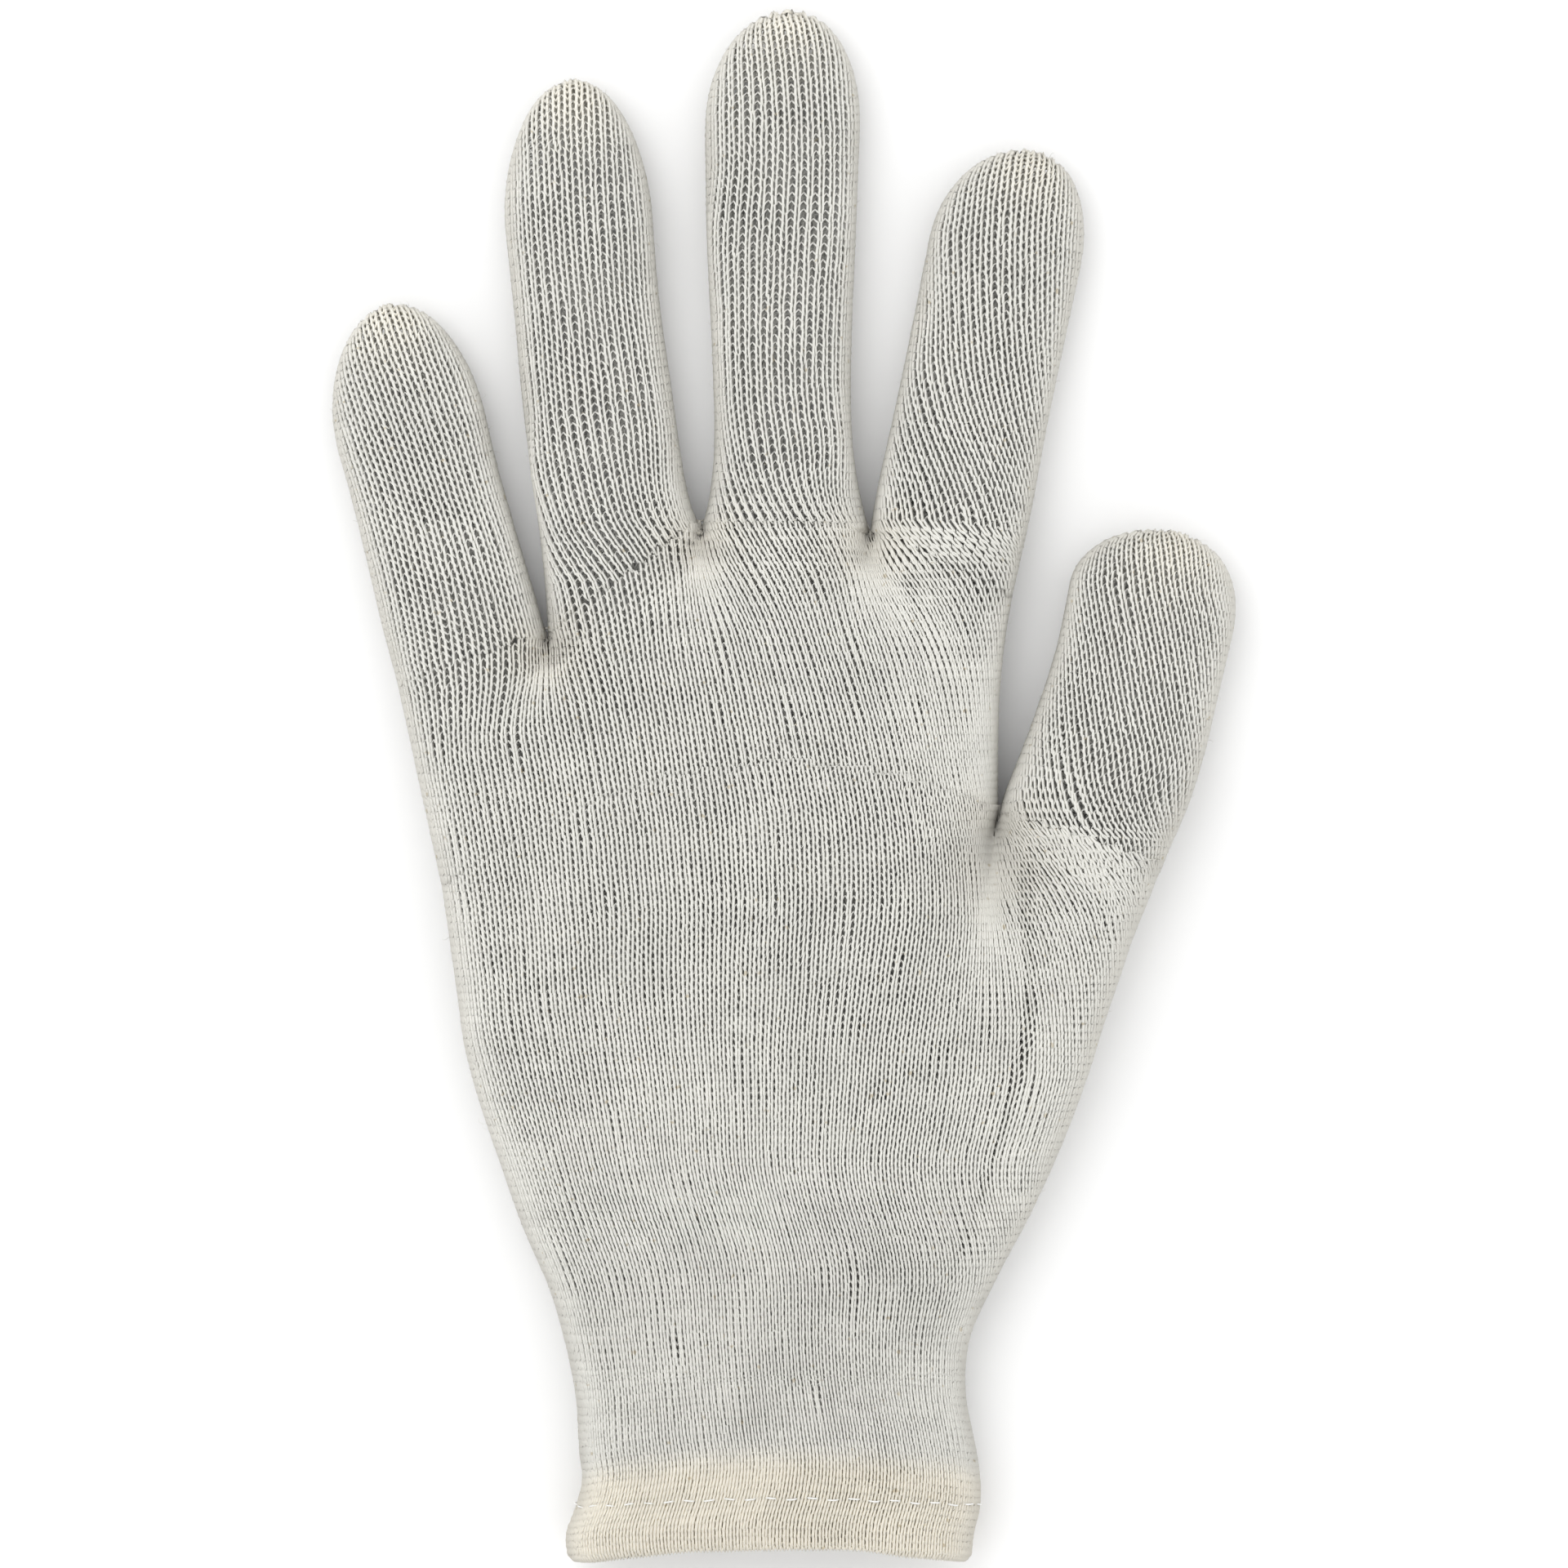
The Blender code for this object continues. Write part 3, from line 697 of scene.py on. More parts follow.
def yarn_paths(sheet, courses, wales, share_of, fields, seamed_above, gap, full):
    """Courses of jersey loops on a sheet, as paths of points with their normals and sizes.

    Along a course the wale number grows evenly with the phase, one wale a turn. The yarn lies at
    the wale number plus a sine of twice the phase less a sine of the phase, at the course number
    less a cosine of the phase, and stands out by one less twice the cube of the cosine's size:
    feet and heads lie deep, and the two legs stand proud.
    """
    steps = fields["sway"].shape[1] // FIELD_WALES
    course = np.arange(*courses)[:, None]
    sample = np.arange(wales[0] * steps, wales[1] * steps + 1)[None, :]
    phase = TAU * sample / steps
    local = {
        key: field[course + FIELD_START, sample + FIELD_START * steps]
        for key, field in fields.items()
    }
    wale = sample / steps + local["sway"] + local["jitter"]
    rise = -LOOP_REACH * np.cos(phase)
    centre = course + 0.5 + local["lift"] + local["jitter"]
    number = centre + rise
    palm = 1 - smooth_step((centre - course_at(COURSE_CHANGE[0])) / PALM_FADE)
    hem = hem_share(centre, HEM_FADE)
    packed = packed_share(sheet, share_of(wale, 0, centre, number), number, seamed_above)
    widening = gap + (PALM_GAP - gap) * palm + local["widen"] * (1 - HEM_EVENNESS * hem)
    widening = widening * (1 - PACKED_GAP * packed)
    across = LEG_PINCH * np.sin(2 * phase) - widening * np.sin(phase)
    share = share_of(wale, across, centre + rise * (1 - LEG_UPRIGHT), number)
    out = LOOP_DEPTH * (1 - 2 * np.abs(np.cos(phase)) ** 3) * np.ones_like(number)
    points, normal, first, last = sheet.at(number, share)
    if not seamed_above:
        points, normal, _, _ = sheet.at(np.minimum(number, last), share)
    puff = local["puff"] * smooth_step(np.minimum(share, 1 - share) / PUFF_FADE)
    points = points + normal * (out + puff - WALL / 2)[..., None]
    points[..., 2] = np.maximum(points[..., 2], CAD_BOUNDS[0][2] + YARN_RADIUS)
    palm_full = curve_through(share, FULLNESS_AT, PALM_FULLNESS)
    fullness = full + (palm_full - full) * palm + HEM_FULLNESS * hem
    fullness = np.maximum(fullness, EDGE_FULLNESS * packed)
    if not seamed_above:
        closing = 1 - smooth_step((last - number) / CLOSING_COURSES)
        fullness = np.maximum(fullness, CLOSING_FULLNESS * closing)
    steep = smooth_step((STEEP_BELOW - np.abs(normal[..., 2])) / STEEP_OVER)
    overlap = 0 if seamed_above else ROOT_OVERLAP * steep
    wrist = smooth_step((WRIST_DIM_BELOW - centre) / WRIST_DIM_OVER) * (1 - hem)
    inside = number <= (last if seamed_above else last + 1)
    if seamed_above:
        inside[:, 1:] |= inside[:, :-1].copy()
        inside[:, :-1] |= inside[:, 1:].copy()
    return {
        "points": points,
        "normal": normal,
        "radius": YARN_RADIUS * (1 + local["swell"] + fullness),
        "keep": inside & (number >= first - overlap),
        "share": share,
        "tone_and_shade": local["tone_and_shade"] - WRIST_DIM * wrist,
        "proud": (out / LOOP_DEPTH + 1) / 2,
        "course": number,
    }


def tubes(paths, cream):
    """Three-sided tubes round the kept stretches of the paths, with closed ends.

    A corner's painted light is a mix of how far it points out of the cloth and how proud its yarn
    stands: the painted shade falls on the yarn's sides that face into the cloth and where its loops
    lie deep.
    """
    points, normal, keep = paths["points"], paths["normal"], paths["keep"]
    tangent = unit(np.gradient(points, axis=1))
    side = unit(np.cross(normal, tangent))
    up = np.cross(tangent, side)
    angle = TAU * (np.arange(3) / 3 + 0.25)
    spokes = np.cos(angle)[:, None] * side[:, :, None] + np.sin(angle)[:, None] * up[:, :, None]
    verts = points[:, :, None] + spokes * paths["radius"][:, :, None, None]
    outward = (spokes * normal[:, :, None]).sum(axis=3)
    pointing = (outward + 0.5) / 1.5
    lit_share = ROUND_SHADE * pointing + (1 - ROUND_SHADE) * paths["proud"][:, :, None]
    number = np.arange(keep.size * 3).reshape(keep.shape + (3,))
    linked = keep[:, :-1] & keep[:, 1:]
    here = number[:, :-1][linked]
    after = number[:, 1:][linked]
    quads = np.stack(
        [here, np.roll(here, -1, axis=1), np.roll(after, -1, axis=1), after], axis=2
    ).reshape(-1, 4)
    closed = np.zeros((keep.shape[0], 1), bool)
    opens = np.concatenate([linked, closed], axis=1)
    shuts = np.concatenate([closed, linked], axis=1)
    caps = np.concatenate([number[opens & ~shuts][:, ::-1], number[shuts & ~opens]])
    values = {
        "yarn_lit_share": lit_share.reshape(-1),
        "yarn_tone_and_shade": np.repeat(paths["tone_and_shade"].reshape(-1), 3),
        "cream": np.repeat(cream.reshape(-1), 3),
    }
    return verts.reshape(-1, 3), quads, caps, values


def add_piece(name, parts, material, nodes):
    """One mesh object from several vertex, quad, triangle and value sets."""
    verts, quads, triangles = [], [], []
    values = {key: [] for key in parts[0][3]}
    start = 0
    for part_verts, part_quads, part_triangles, part_values in parts:
        used = np.zeros(len(part_verts), bool)
        used[part_quads] = True
        used[part_triangles] = True
        renumber = np.cumsum(used) - 1 + start
        verts.append(part_verts[used])
        quads.append(renumber[part_quads])
        triangles.append(renumber[part_triangles])
        for key in values:
            values[key].append(part_values[key][used])
        start += int(used.sum())
    verts = np.concatenate(verts)
    quads = np.concatenate(quads)
    triangles = np.concatenate(triangles)
    mesh = bpy.data.meshes.new(name)
    mesh.vertices.add(len(verts))
    mesh.vertices.foreach_set("co", verts.astype(np.float32).reshape(-1))
    mesh.loops.add(quads.size + triangles.size)
    corners = np.concatenate([quads.reshape(-1), triangles.reshape(-1)])
    mesh.loops.foreach_set("vertex_index", corners.astype(np.int32))
    mesh.polygons.add(len(quads) + len(triangles))
    starts = np.concatenate([
        np.arange(len(quads)) * 4,
        quads.size + np.arange(len(triangles)) * 3,
    ])
    mesh.polygons.foreach_set("loop_start", starts.astype(np.int32))
    mesh.polygons.foreach_set("use_smooth", np.ones(len(starts), bool))
    for key, value in values.items():
        layer = mesh.attributes.new(key, "FLOAT", "POINT")
        layer.data.foreach_set("value", np.concatenate(value).astype(np.float32))
    mesh.update(calc_edges=True)
    mesh.validate()
    mesh.materials.append(material)
    piece = bpy.data.objects.new(name, mesh)
    bpy.context.scene.collection.objects.link(piece)
    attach(piece, "root")
    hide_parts(*nodes)


def linear(colour):
    """Linear red, green, blue and one from an sRGB hex value."""
    values = [int(colour[i:i + 2], 16) / 255 for i in (1, 3, 5)]
    return [v / 12.92 if v <= 0.04045 else ((v + 0.055) / 1.055) ** 2.4 for v in values] + [1]


def node(tree, kind, inputs=(), **settings):
    """Adds a node with its settings. inputs maps a socket to a value or to another's output."""
    made = tree.nodes.new(kind)
    for key, value in settings.items():
        setattr(made, key, value)
    for socket, value in dict(inputs).items():
        if isinstance(value, bpy.types.NodeSocket):
            tree.links.new(value, made.inputs[socket])
        else:
            made.inputs[socket].default_value = value
    return made


def cotton_yarn(name, colours):
    """Ring-spun cotton yarn or thread, matt and fibrous, with a painted highlight on top and painted
    shade where it lies deep.
    """
    material = bpy.data.materials.new(name)
    material.use_nodes = True
    tree = material.node_tree
    shader = tree.nodes["Principled BSDF"]
    shader.inputs["Roughness"].default_value = 0.95
    shader.inputs["Specular IOR Level"].default_value = 0.15
    lit_share = node(tree, "ShaderNodeAttribute", attribute_name="yarn_lit_share")
    tone_and_shade = node(tree, "ShaderNodeAttribute", attribute_name="yarn_tone_and_shade")
    cream_part = node(tree, "ShaderNodeAttribute", attribute_name="cream")
    place = node(tree, "ShaderNodeTexCoord")
    # Painted light: each corner's lit share mixes the painted shade colours up to the painted
    # highlight
    light = node(
        tree, "ShaderNodeMapRange", {0: lit_share.outputs["Fac"], 1: 0.05, 2: 0.9},
        interpolation_type="SMOOTHSTEP",
    )
    # Painted shade between the loops, darker in random stretches where the knit is loose
    loose = node(
        tree, "ShaderNodeTexNoise",
        {"Vector": place.outputs["Object"], "Scale": 1 / LOOSE_STRETCH, "Detail": 2.0},
    )
    loose_shade = node(tree, "ShaderNodeMapRange", {0: loose.outputs["Fac"], 1: 0.42, 2: 0.68})
    dim = node(
        tree, "ShaderNodeMix",
        {0: loose_shade.outputs[0], 6: linear(colours.deep), 7: linear(colours.loose)},
        data_type="RGBA",
    )
    plain = node(
        tree, "ShaderNodeMix",
        {0: light.outputs[0], 6: dim.outputs[2], 7: linear(colours.bright)},
        data_type="RGBA",
    )
    creamy = node(
        tree, "ShaderNodeMix",
        {0: light.outputs[0], 6: linear(colours.cream_deep), 7: linear(colours.cream)},
        data_type="RGBA",
    )
    base = node(
        tree, "ShaderNodeMix",
        {0: cream_part.outputs["Fac"], 6: plain.outputs[2], 7: creamy.outputs[2]},
        data_type="RGBA",
    )
    # Specks of seed in unbleached cotton, under half a millimetre wide and far apart
    specks = node(
        tree, "ShaderNodeTexNoise",
        {"Vector": place.outputs["Object"], "Scale": 1 / SPECK_SPACING, "Detail": 0.0},
    )
    speck = node(
        tree, "ShaderNodeMapRange", {0: specks.outputs["Fac"], 1: 0.79, 2: 0.85, 4: 0.5},
    )
    specked = node(
        tree, "ShaderNodeMix",
        {0: speck.outputs[0], 6: base.outputs[2], 7: linear(SEED_SPECK)},
        data_type="RGBA",
    )
    # Yarn is a little brighter or dimmer from patch to patch and from loop to loop, and the tone
    #     # attribute also carries painted shade at the turned edges and in the forks' creases
    patch = node(
        tree, "ShaderNodeTexNoise",
        {"Vector": place.outputs["Object"], "Scale": 1 / SHADE_PATCH, "Detail": 3.0},
    )
    uneven_and_shaded = node(
        tree, "ShaderNodeMath", {0: tone_and_shade.outputs["Fac"], 1: DIM_STEP}, operation="MULTIPLY"
    )
    value = node(
        tree, "ShaderNodeMath", {0: patch.outputs["Fac"], 1: 0.1, 2: uneven_and_shaded.outputs[0]},
        operation="MULTIPLY_ADD",
    )
    bright_by = node(tree, "ShaderNodeMath", {0: value.outputs[0], 1: 0.95}, operation="ADD")
    finish = node(
        tree, "ShaderNodeHueSaturation",
        {"Value": bright_by.outputs[0], "Color": specked.outputs[2]},
    )
    tree.links.new(finish.outputs[0], shader.inputs["Base Color"])
    # Fine fibres roughen the yarn's skin
    fibres = node(
        tree, "ShaderNodeTexNoise",
        {"Vector": place.outputs["Object"], "Scale": 1 / FIBRE_GRAIN, "Detail": 2.0},
    )
    bump = node(
        tree, "ShaderNodeBump",
        {"Height": fibres.outputs["Fac"], "Strength": 0.5, "Distance": 0.00005},
    )
    tree.links.new(bump.outputs[0], shader.inputs["Normal"])
    return material


def gathered(wale, gathers):
    """How many wales are drawn in to the left of each wale: a smooth step at each fork."""
    total = 0
    for at, count, over in gathers:
        total = total + count * smooth_step((wale - at) / over + 0.5)
    return total


def lean_share(course):
    """0 low on the palm to 1 at the highest fork, with the power that the wales' sweep follows."""
    low = course_at(LEAN_FROM)
    high = course_at(PALM_LENGTH)
    return np.clip((course - low) / (high - low), 0, 1) ** LEAN_POWER


def thumb_share(course):
    """0 below the thumb's base, 1 at its fork, and 0 again where the index finger starts."""
    rise_from, rise_to, fall_from, fall_to = (course_at(y) for y in THUMB_LEAN)
    rising = np.clip((course - rise_from) / (rise_to - rise_from), 0, 1)
    return rising * smooth_step((fall_to - course) / (fall_to - fall_from))


def face_shift(wale, course):
    """Wales by which the face's knitting is swept to the left, at a wale and a course."""
    palm = gathered(wale, FORK_GATHERS) * lean_share(course)
    return palm + gathered(wale, (THUMB_GATHER,)) * thumb_share(course)


def share_at_fork(place):
    """Share of the thumb's fork row at a place in wales: the palm's part, then the thumb's."""
    palm_part = len(FINGERS) / (len(FINGERS) + 1)
    on_palm = palm_part / PALM_WALES
    on_thumb = (1 - palm_part) / THUMB_WALES
    return place * on_palm + np.maximum(place - PALM_WALES, 0) * (on_thumb - on_palm)


def plain_shift(wale, course):
    """No sweep: the under side's wales run straight."""
    return 0 * wale + 0 * course


SIDES = ("face", "under")
SHIFTS = (face_shift, plain_shift)


def finger_share(sheet, finger, first_wale, settled_shift, shift, sign):
    """Place across a finger for a wale. In the cap wales keep their width and run off its edges.

    The twist is the running sum of the slant's tangent, counted in wales.
    """
    courses = sheet.row_courses
    along = (courses - courses[0]) / (courses[-1] - courses[0])
    cap = np.searchsorted(along, 1 - finger.cap * finger.width / finger.length)
    spacing = sheet.arc / finger.wales
    spacing[cap:] = spacing[cap]
    slant = np.radians(curve_through(along, LEANS_AT, finger.leans))
    steps = np.gradient(courses) * FINGER_COURSE
    twist = np.cumsum(np.tan(slant) / spacing * steps)
    twist = (twist - twist[0]) * sign
    whole_at = THUMB_LEAN[1] if finger is THUMB else PALM_LENGTH
    settle_from = max(courses[0], course_at(whole_at))

    def share_of(wale, across, upright, course):
        settle = smooth_step((course - settle_from) / ROOT_SETTLE)
        root = shift(wale, upright)
        drawn = root + (settled_shift - root) * settle
        turned = np.interp(upright, courses, twist)
        local = wale + across - drawn - turned - first_wale - finger.wales / 2
        width = np.interp(course, courses, sheet.arc)
        return 0.5 + local * np.interp(course, courses, spacing) / width

    first = first_wale + settled_shift
    span = (
        first + math.floor(min(twist.min(), 0)) - TWIST_SPARE_WALES,
        first + finger.wales + math.ceil(max(twist.max(), 0)) + TWIST_SPARE_WALES,
    )
    return share_of, span


def near_spot(paths, spot):
    """A bell curve of the distance from the spot, over the glove's plan."""
    away = np.hypot(paths["points"][..., 0] - spot.x, paths["points"][..., 1] - spot.y)
    return np.exp(-((away / spot.radius) ** 2))


def cream_mask(paths, spots):
    """How far the cotton looks cream: at the turned edges, near the given spots and at the hem.

    A spot's share falls as its bell curve does.
    """
    mask = turned_share(paths, EDGE_CREAM_FROM) * EDGE_CREAM
    for spot in spots:
        mask = np.maximum(mask, spot.cream * near_spot(paths, spot))
    return np.clip(np.maximum(mask, hem_share(paths["course"], HEM_CREAM_FADE)), 0, 1)


def sheet_part(sheet, courses, wales, share_of, fields, seamed_above, spots, gap=PALM_GAP, full=0):
    """Tubes of a sheet's knitting between two courses and two wales."""
    paths = yarn_paths(sheet, courses, wales, share_of, fields, seamed_above, gap, full)
    # Painted shade: dimmer where the cloth turns to the side and in the spots at the forks, lighter
    # at the tips
    paths["tone_and_shade"] = paths["tone_and_shade"] - EDGE_DIM * turned_share(paths, EDGE_DIM_FROM)
    for spot in spots:
        paths["tone_and_shade"] = paths["tone_and_shade"] - spot.dim * near_spot(paths, spot)
    over = OVER_EDGE / (sheet.half / FINGER_HALF * FINGER_WALES)
    paths["keep"] &= (paths["share"] > -over) & (paths["share"] < 1 + over)
    return tubes(paths, cream_mask(paths, spots))


def hem_thread(sheets):
    """Sewing thread of the hem: a ring of running stitches on both sides of the cuff.

    Its distance from the surface is a sine along the ring, made steeper, cut off at both ends and
    deepest between two stitches. Its course sags along a parabola and wanders as a sine.
    """
    samples = np.linspace(0, WRIST_WALES, WRIST_WALES * THREAD_STEPS + 1)[None, :]
    wave = np.clip(THREAD_STEEPNESS * np.sin(TAU * samples / THREAD_PITCH), -1, 1)
    share = samples / WRIST_WALES
    sag = THREAD_SAG * 4 * share * (1 - share)
    course = THREAD_COURSE - sag + THREAD_WANDER * np.sin(samples)
    parts = []
    for sheet in sheets:
        points, normal, _, _ = sheet.at(course, share)
        out = THREAD_OUT * wave - WALL / 2
        points = points + normal * out[..., None]
        points[..., 2] = np.maximum(points[..., 2], CAD_BOUNDS[0][2] + THREAD_RADIUS)
        paths = {
            "points": points,
            "normal": normal,
            "radius": np.full_like(out, THREAD_RADIUS),
            "keep": np.ones(out.shape, bool),
            "tone_and_shade": np.zeros_like(out),
            "proud": np.ones_like(out),
        }
        parts.append(tubes(paths, np.zeros_like(out)))
    return parts


def loose_fibres(random, sheet, count):
    """Short fibre ends that stand off the knitting, each an arc that leaves the surface and bends.

    Along a fibre its distance from the surface is a sine of the share of its length, and its
    run over the surface grows evenly.
    """
    start = sheet.first.max() + SPARE_COURSES
    course = random.uniform(start, sheet.last.max() - 1, (count, 1))
    edge = random.beta(FIBRE_EDGE_BIAS, FIBRE_EDGE_BIAS, (count, 1))
    points, normal, _, last = sheet.at(course, edge)
    along = np.linspace(0, 1, FIBRE_STEPS + 1)[None, :]
    heading = random.uniform(0, TAU, (count, 1, 1))
    turn = heading + along[..., None] * random.normal(0, FIBRE_CURL, (count, 1, 1))
    side = unit(np.cross(normal, [0.0, 1.0, 0.0]))
    over = side * np.cos(turn) + np.cross(normal, side) * np.sin(turn)
    length = random.uniform(*FIBRE_LENGTH, (count, 1, 1))
    rise = random.uniform(*FIBRE_RISE, (count, 1, 1)) * length
    path = points + over * length * along[..., None] * FIBRE_REACH
    path = path + normal * (rise * np.sin(FIBRE_ARC * along)[..., None] - WALL / 4)
    path[..., 2] = np.maximum(path[..., 2], CAD_BOUNDS[0][2] + FIBRE_RADIUS)
    paths = {
        "points": path,
        "normal": np.broadcast_to(normal, path.shape),
        "radius": FIBRE_RADIUS * (1 - FIBRE_TAPER * along) * np.ones((count, 1)),
        "keep": np.broadcast_to(course < last - 1, path.shape[:2]),
        "tone_and_shade": np.zeros(path.shape[:2]),
        "proud": np.ones(path.shape[:2]),
    }
    return tubes(paths, np.zeros(path.shape[:2]))


def build_sheets():
    """Sheets of the fingers, the thumb and the palm's two stretches, placed in the frame."""
    points = knuckle_points()
    fingers = [
        finger_halves(finger, points[i], points[i + 1], KNUCKLE_THICKNESS)
        for i, finger in enumerate(FINGERS)
    ]
    knuckles = [joined([halves[side][0] for halves in fingers]) for side in (0, 1)]
    palm = upper_palm_halves(knuckles, points[[0, -1]])
    thumb = finger_halves(THUMB, *thumb_root_points(), PALM_THICKNESS)
    fork_row = [joined([palm[side][-1], thumb[side][0]]) for side in (0, 1)]
    lower = lower_palm_halves(fork_row)
    grids = [grid for halves in fingers + [palm, thumb] for grid in halves]
    low_x = min(grid[..., 0].min() for grid in grids)
    high_x = max(grid[..., 0].max() for grid in grids)
    shell_low, shell_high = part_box("knit_shell")
    hem_low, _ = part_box("cuff_hem")
    move = np.array([
        (shell_low[0] + shell_high[0] - low_x - high_x) / 2,
        hem_low[1],
        shell_low[2],
    ])

    def on_palm(points):
        return palm_courses(points, move)

    sheets = {
        finger.name: wall_sheets(
            halves, move, True, lambda points, lean=finger.lean: finger_courses(points, move, lean)
        )
        for finger, halves in zip(FINGERS + (THUMB,), fingers + [thumb])
    }
    sheets["palm"] = wall_sheets(palm, move, False, on_palm)
    sheets["lower"] = wall_sheets(lower, move, False, on_palm)
    forks = [(x + move[0], y + move[1]) for x, y in points[1:4]]
    forks.append(tuple(thumb_root_points()[0] + move[:2]))
    return sheets, forks


def course_span(sheet):
    """Whole courses that reach past both ends of a sheet."""
    return math.floor(sheet.first.min()) - 1, math.ceil(sheet.last.max()) + 1


def placed(spot, x, y):
    """A spot moved to a place."""
    return spot._replace(x=x + spot.x, y=y + spot.y)


def knit_fingers(sheets, fields, yarn, spots):
    """The four fingers and the thumb, each one closed piece of both its sides."""
    settled = [
        round(gathered(FINGER_WALES * (i + 0.5) + place, FORK_GATHERS))
        for i, place in enumerate(SETTLED_PLACES)
    ]
    fingers = [(finger, i * FINGER_WALES, settled[i]) for i, finger in enumerate(FINGERS)]
    fingers.append((THUMB, PALM_WALES, THUMB_GATHER[1]))
    for finger, first_wale, settled_shift in fingers:
        parts = []
        for i, sheet in enumerate(sheets[finger.name]):
            tip = sheet.grid[-TIP_SPOT_BACK * LEVELS, sheet.grid.shape[1] // 2]
            near = spots + [placed(TIP_SPOT, tip[0], tip[1])]
            share_of, span = finger_share(
                sheet, finger, first_wale, (settled_shift, 0)[i], SHIFTS[i], (1, -1)[i]
            )
            part = sheet_part(
                sheet, course_span(sheet), span, share_of, fields[i], False, near,
                finger.gap, finger.full,
            )
            parts.append(part)
        name = finger.name if finger is THUMB else "finger_" + finger.name
        add_piece(name, parts, yarn, ["knit_shell"])


def upper_share(shift):
    """Place across the upper palm for a wale: its number less the sweep, over all the wales."""

    def share_of(wale, across, upright, course):
        return (wale + across - shift(wale, upright)) / PALM_WALES

    return share_of


def knit_upper_palm(sheets, fields, yarn, spots):
    """Both sides of the palm from the knuckles to the row of the thumb's fork."""
    span = (-SPARE_WALES, PALM_WALES + SWEPT_WALES)
    for i, (sheet, side) in enumerate(zip(sheets["palm"], SIDES)):
        part = sheet_part(
            sheet, course_span(sheet), span, upper_share(SHIFTS[i]), fields[i], True, spots,
            KNUCKLE_GAP, KNUCKLE_FULLNESS,
        )
        add_piece("palm_upper_" + side, [part], yarn, ["knit_shell"])


def lower_share(sheet, shift):
    """Place across the lower palm and the wrist for a wale.

    Wales keep their number over the row's width at a spacing that passes from the palm's to the
    wrist's as the row narrows. At the wrist that number is WRIST_WALES, and at the thumb's fork
    the wales meet those of the palm and of the thumb.
    """
    wide = sheet.width[-1]
    narrow = sheet.width.min()
    spacings = (wide / KNIT_WALES, narrow / WRIST_WALES)

    def share_of(wale, across, upright, course):
        local = wale + across - shift(wale, upright)
        width = sheet.width_at(course, local / KNIT_WALES)
        narrowed = smooth_step((wide - width) / (wide - narrow))
        count = width / (spacings[0] + (spacings[1] - spacings[0]) * narrowed)
        wrist = smooth_step((WRIST_FROM - course) / (WRIST_FROM - WRIST_TO))
        share = local / (count + (WRIST_WALES - count) * wrist)
        near_fork = smooth_step((course - sheet.last.min()) / FORK_BLEND + 1)
        return share + (share_at_fork(local) - local / KNIT_WALES) * near_fork

    return share_of


def knit_lower_palm(sheets, fields, yarn, spots):
    """Both sides from the thumb's fork to the cuff in three bands, and the hem turned up inside."""
    top = math.ceil(max(sheet.last.max() for sheet in sheets["lower"])) + 1
    names = ("cuff", "heel", "palm_lower")
    bands = np.linspace(0, top, len(names) + 1).round().astype(int)
    span = (-SPARE_WALES, KNIT_WALES + SWEPT_WALES)
    hem_span = (-SPARE_WALES, WRIST_WALES + SPARE_WALES)
    for i, (plain, side) in enumerate(zip(sheets["lower"], SIDES)):
        sheet = plain.turned_up()
        share_of = lower_share(sheet, SHIFTS[i])
        for low, high, name in zip(bands[:-1], bands[1:], names):
            part = sheet_part(sheet, (low, high), span, share_of, fields[i], True, spots)
            add_piece(f"{name}_{side}", [part], yarn, ["knit_shell"])
        turned = (math.floor(sheet.first.min()), 0)
        part = sheet_part(sheet, turned, hem_span, share_of, fields[i], True, spots)
        add_piece(f"hem_{side}", [part], yarn, ["cuff_hem"])


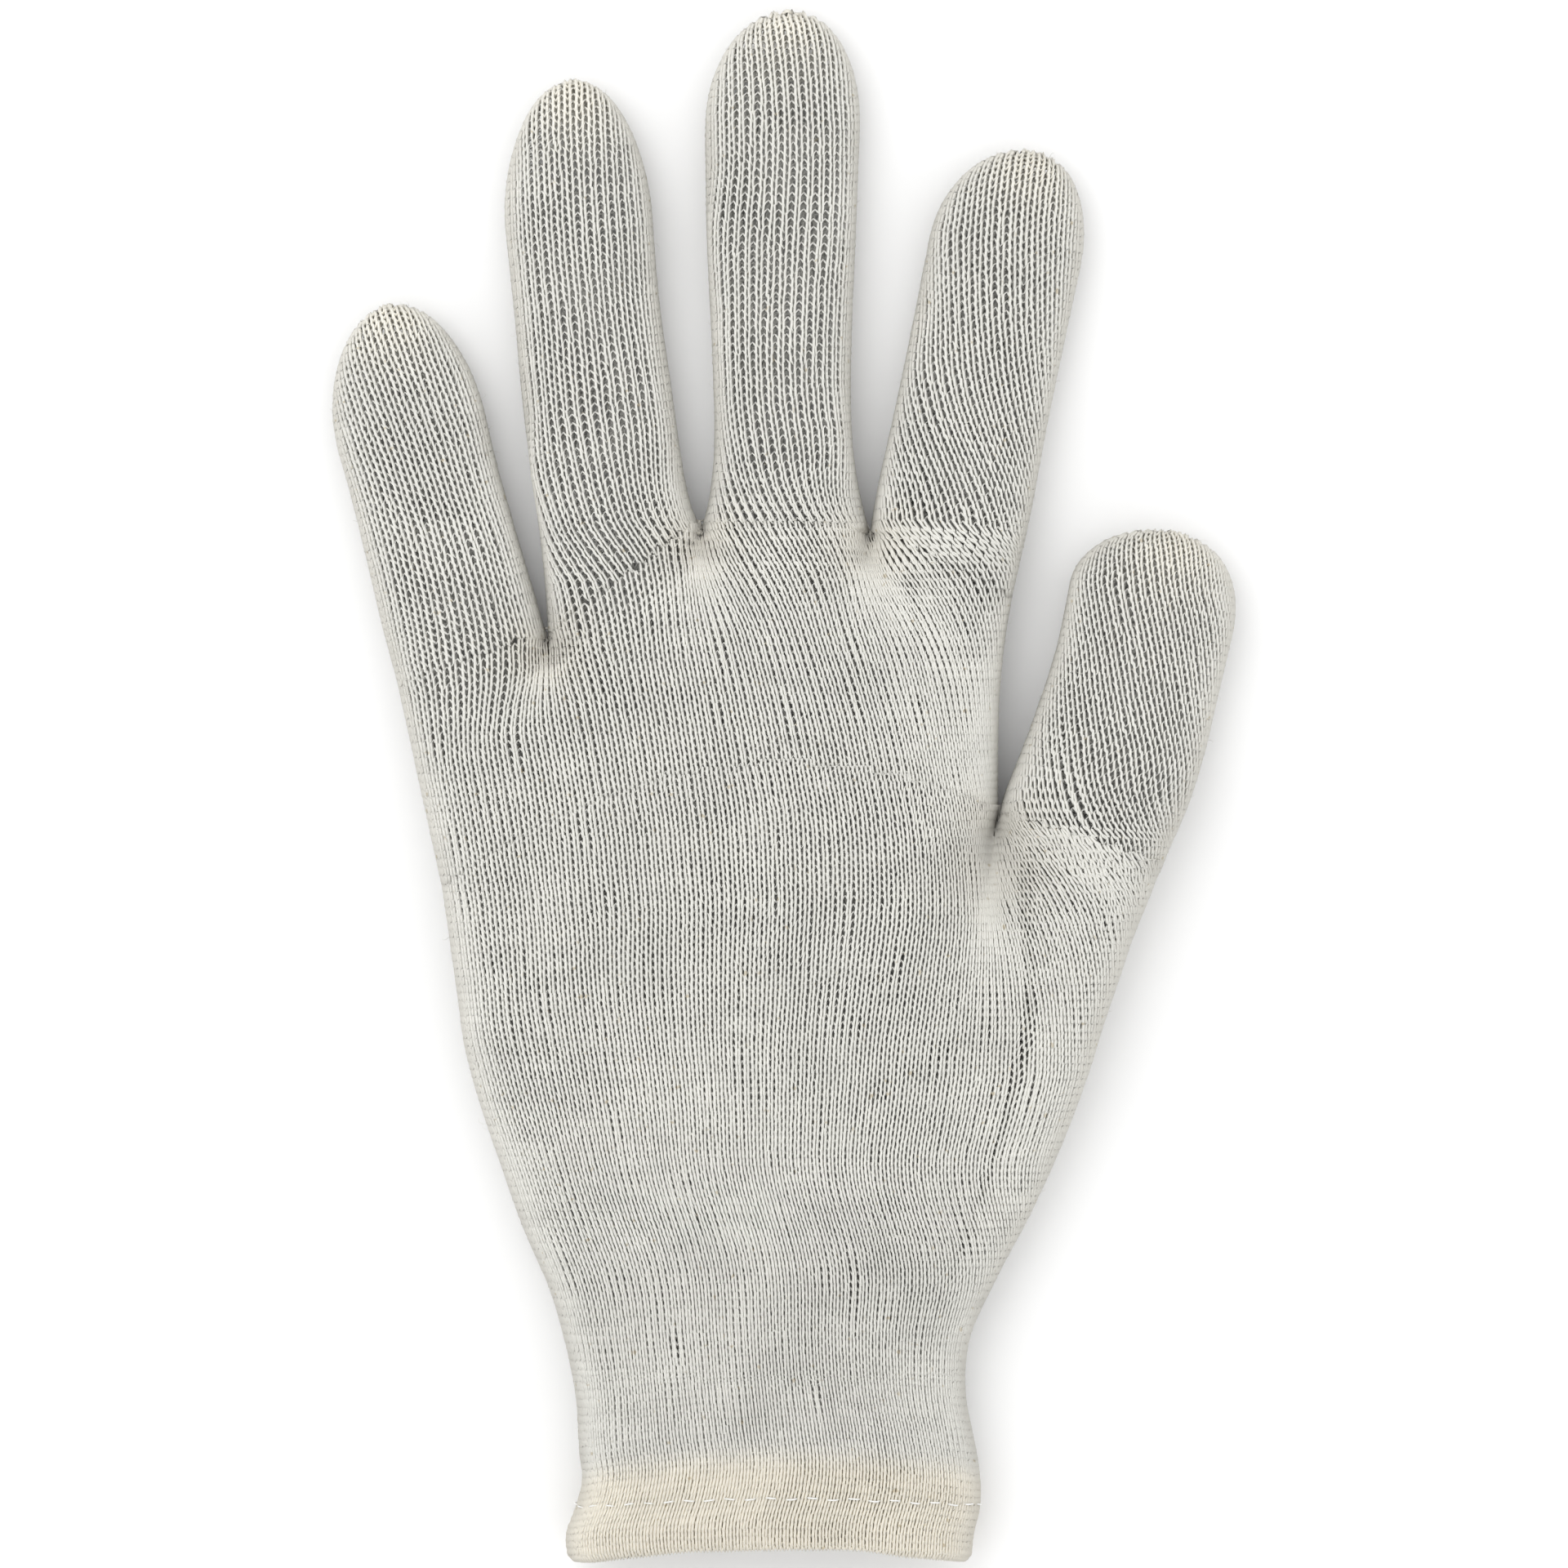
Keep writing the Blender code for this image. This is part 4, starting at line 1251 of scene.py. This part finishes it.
def make_knit():
    """All knitted walls of the glove, then the hem's thread and the loose fibres."""
    random = np.random.default_rng(SEED)
    fields = [yarn_unevenness(random, steps) for steps in (FACE_STEPS, UNDER_STEPS)]
    # The under side lies on a surface, so its puffs only go inward
    fields[1]["puff"] = -np.abs(fields[1]["puff"])
    sheets, forks = build_sheets()
    yarn = cotton_yarn("ring_spun_cotton_yarn", COTTON)
    spots = [placed(FORK_SPOT, *fork) for fork in forks] + [placed(CROTCH_SPOT, *forks[-1])]
    knit_fingers(sheets, fields, yarn, spots)
    knit_upper_palm(sheets, fields, yarn, spots)
    knit_lower_palm(sheets, fields, yarn, spots)
    thread = cotton_yarn("white_sewing_thread", THREAD)
    add_piece("hem_thread", hem_thread(sheets["lower"]), thread, ["cuff_hem"])
    fibres = [
        loose_fibres(random, sheet, FIBRES_A_SHEET * (3 if name == "lower" else 1))
        for name, pair in sheets.items() for sheet in pair
    ]
    add_piece("loose_fibres", fibres, yarn, ["knit_shell"])


def stage_material():
    """Matt white paper, plain."""
    material = bpy.data.materials.new("matt_white_paper")
    material.use_nodes = True
    shader = material.node_tree.nodes["Principled BSDF"]
    shader.inputs["Base Color"].default_value = linear(PAPER)
    shader.inputs["Roughness"].default_value = 0.9
    return material


def make_stage():
    """Pale floor, soft light from all round with a little more from the upper left, and camera."""
    mesh = bpy.data.meshes.new("floor")
    corners = [(x * FLOOR_REACH, y * FLOOR_REACH, 0) for x, y in ((-1, -1), (1, -1), (1, 1), (-1, 1))]
    mesh.from_pydata(corners, [], [(0, 1, 2, 3)])
    mesh.materials.append(stage_material())
    floor = bpy.data.objects.new("floor", mesh)
    bpy.context.scene.collection.objects.link(floor)

    world = bpy.data.worlds.new("soft_studio")
    world.use_nodes = True
    sky = world.node_tree.nodes["Background"]
    sky.inputs["Color"].default_value = (1, 1, 1, 1)
    sky.inputs["Strength"].default_value = SKY_STRENGTH
    bpy.context.scene.world = world

    lamp = bpy.data.lights.new("soft_key", "AREA")
    lamp.shape = "DISK"
    lamp.size = LAMP_SIZE
    lamp.energy = LAMP_ENERGY
    key = bpy.data.objects.new("soft_key", lamp)
    key.location = LAMP_AT
    key.rotation_euler = [math.radians(angle) for angle in LAMP_TURN]
    bpy.context.scene.collection.objects.link(key)

    camera = bpy.data.cameras.new("camera")
    camera.sensor_width = SENSOR_WIDTH
    camera.lens = SENSOR_WIDTH * (CAMERA_HEIGHT - VIEW_PLANE) / (PHOTO_PIXELS * PIXEL)
    camera.clip_start = NEAREST_SEEN
    eye = bpy.data.objects.new("camera", camera)
    eye.location = (0, 0, CAMERA_HEIGHT)
    bpy.context.scene.collection.objects.link(eye)
    bpy.context.scene.camera = eye
    bpy.context.scene.view_settings.view_transform = "Standard"


def main():
    make_knit()
    make_stage()


main()
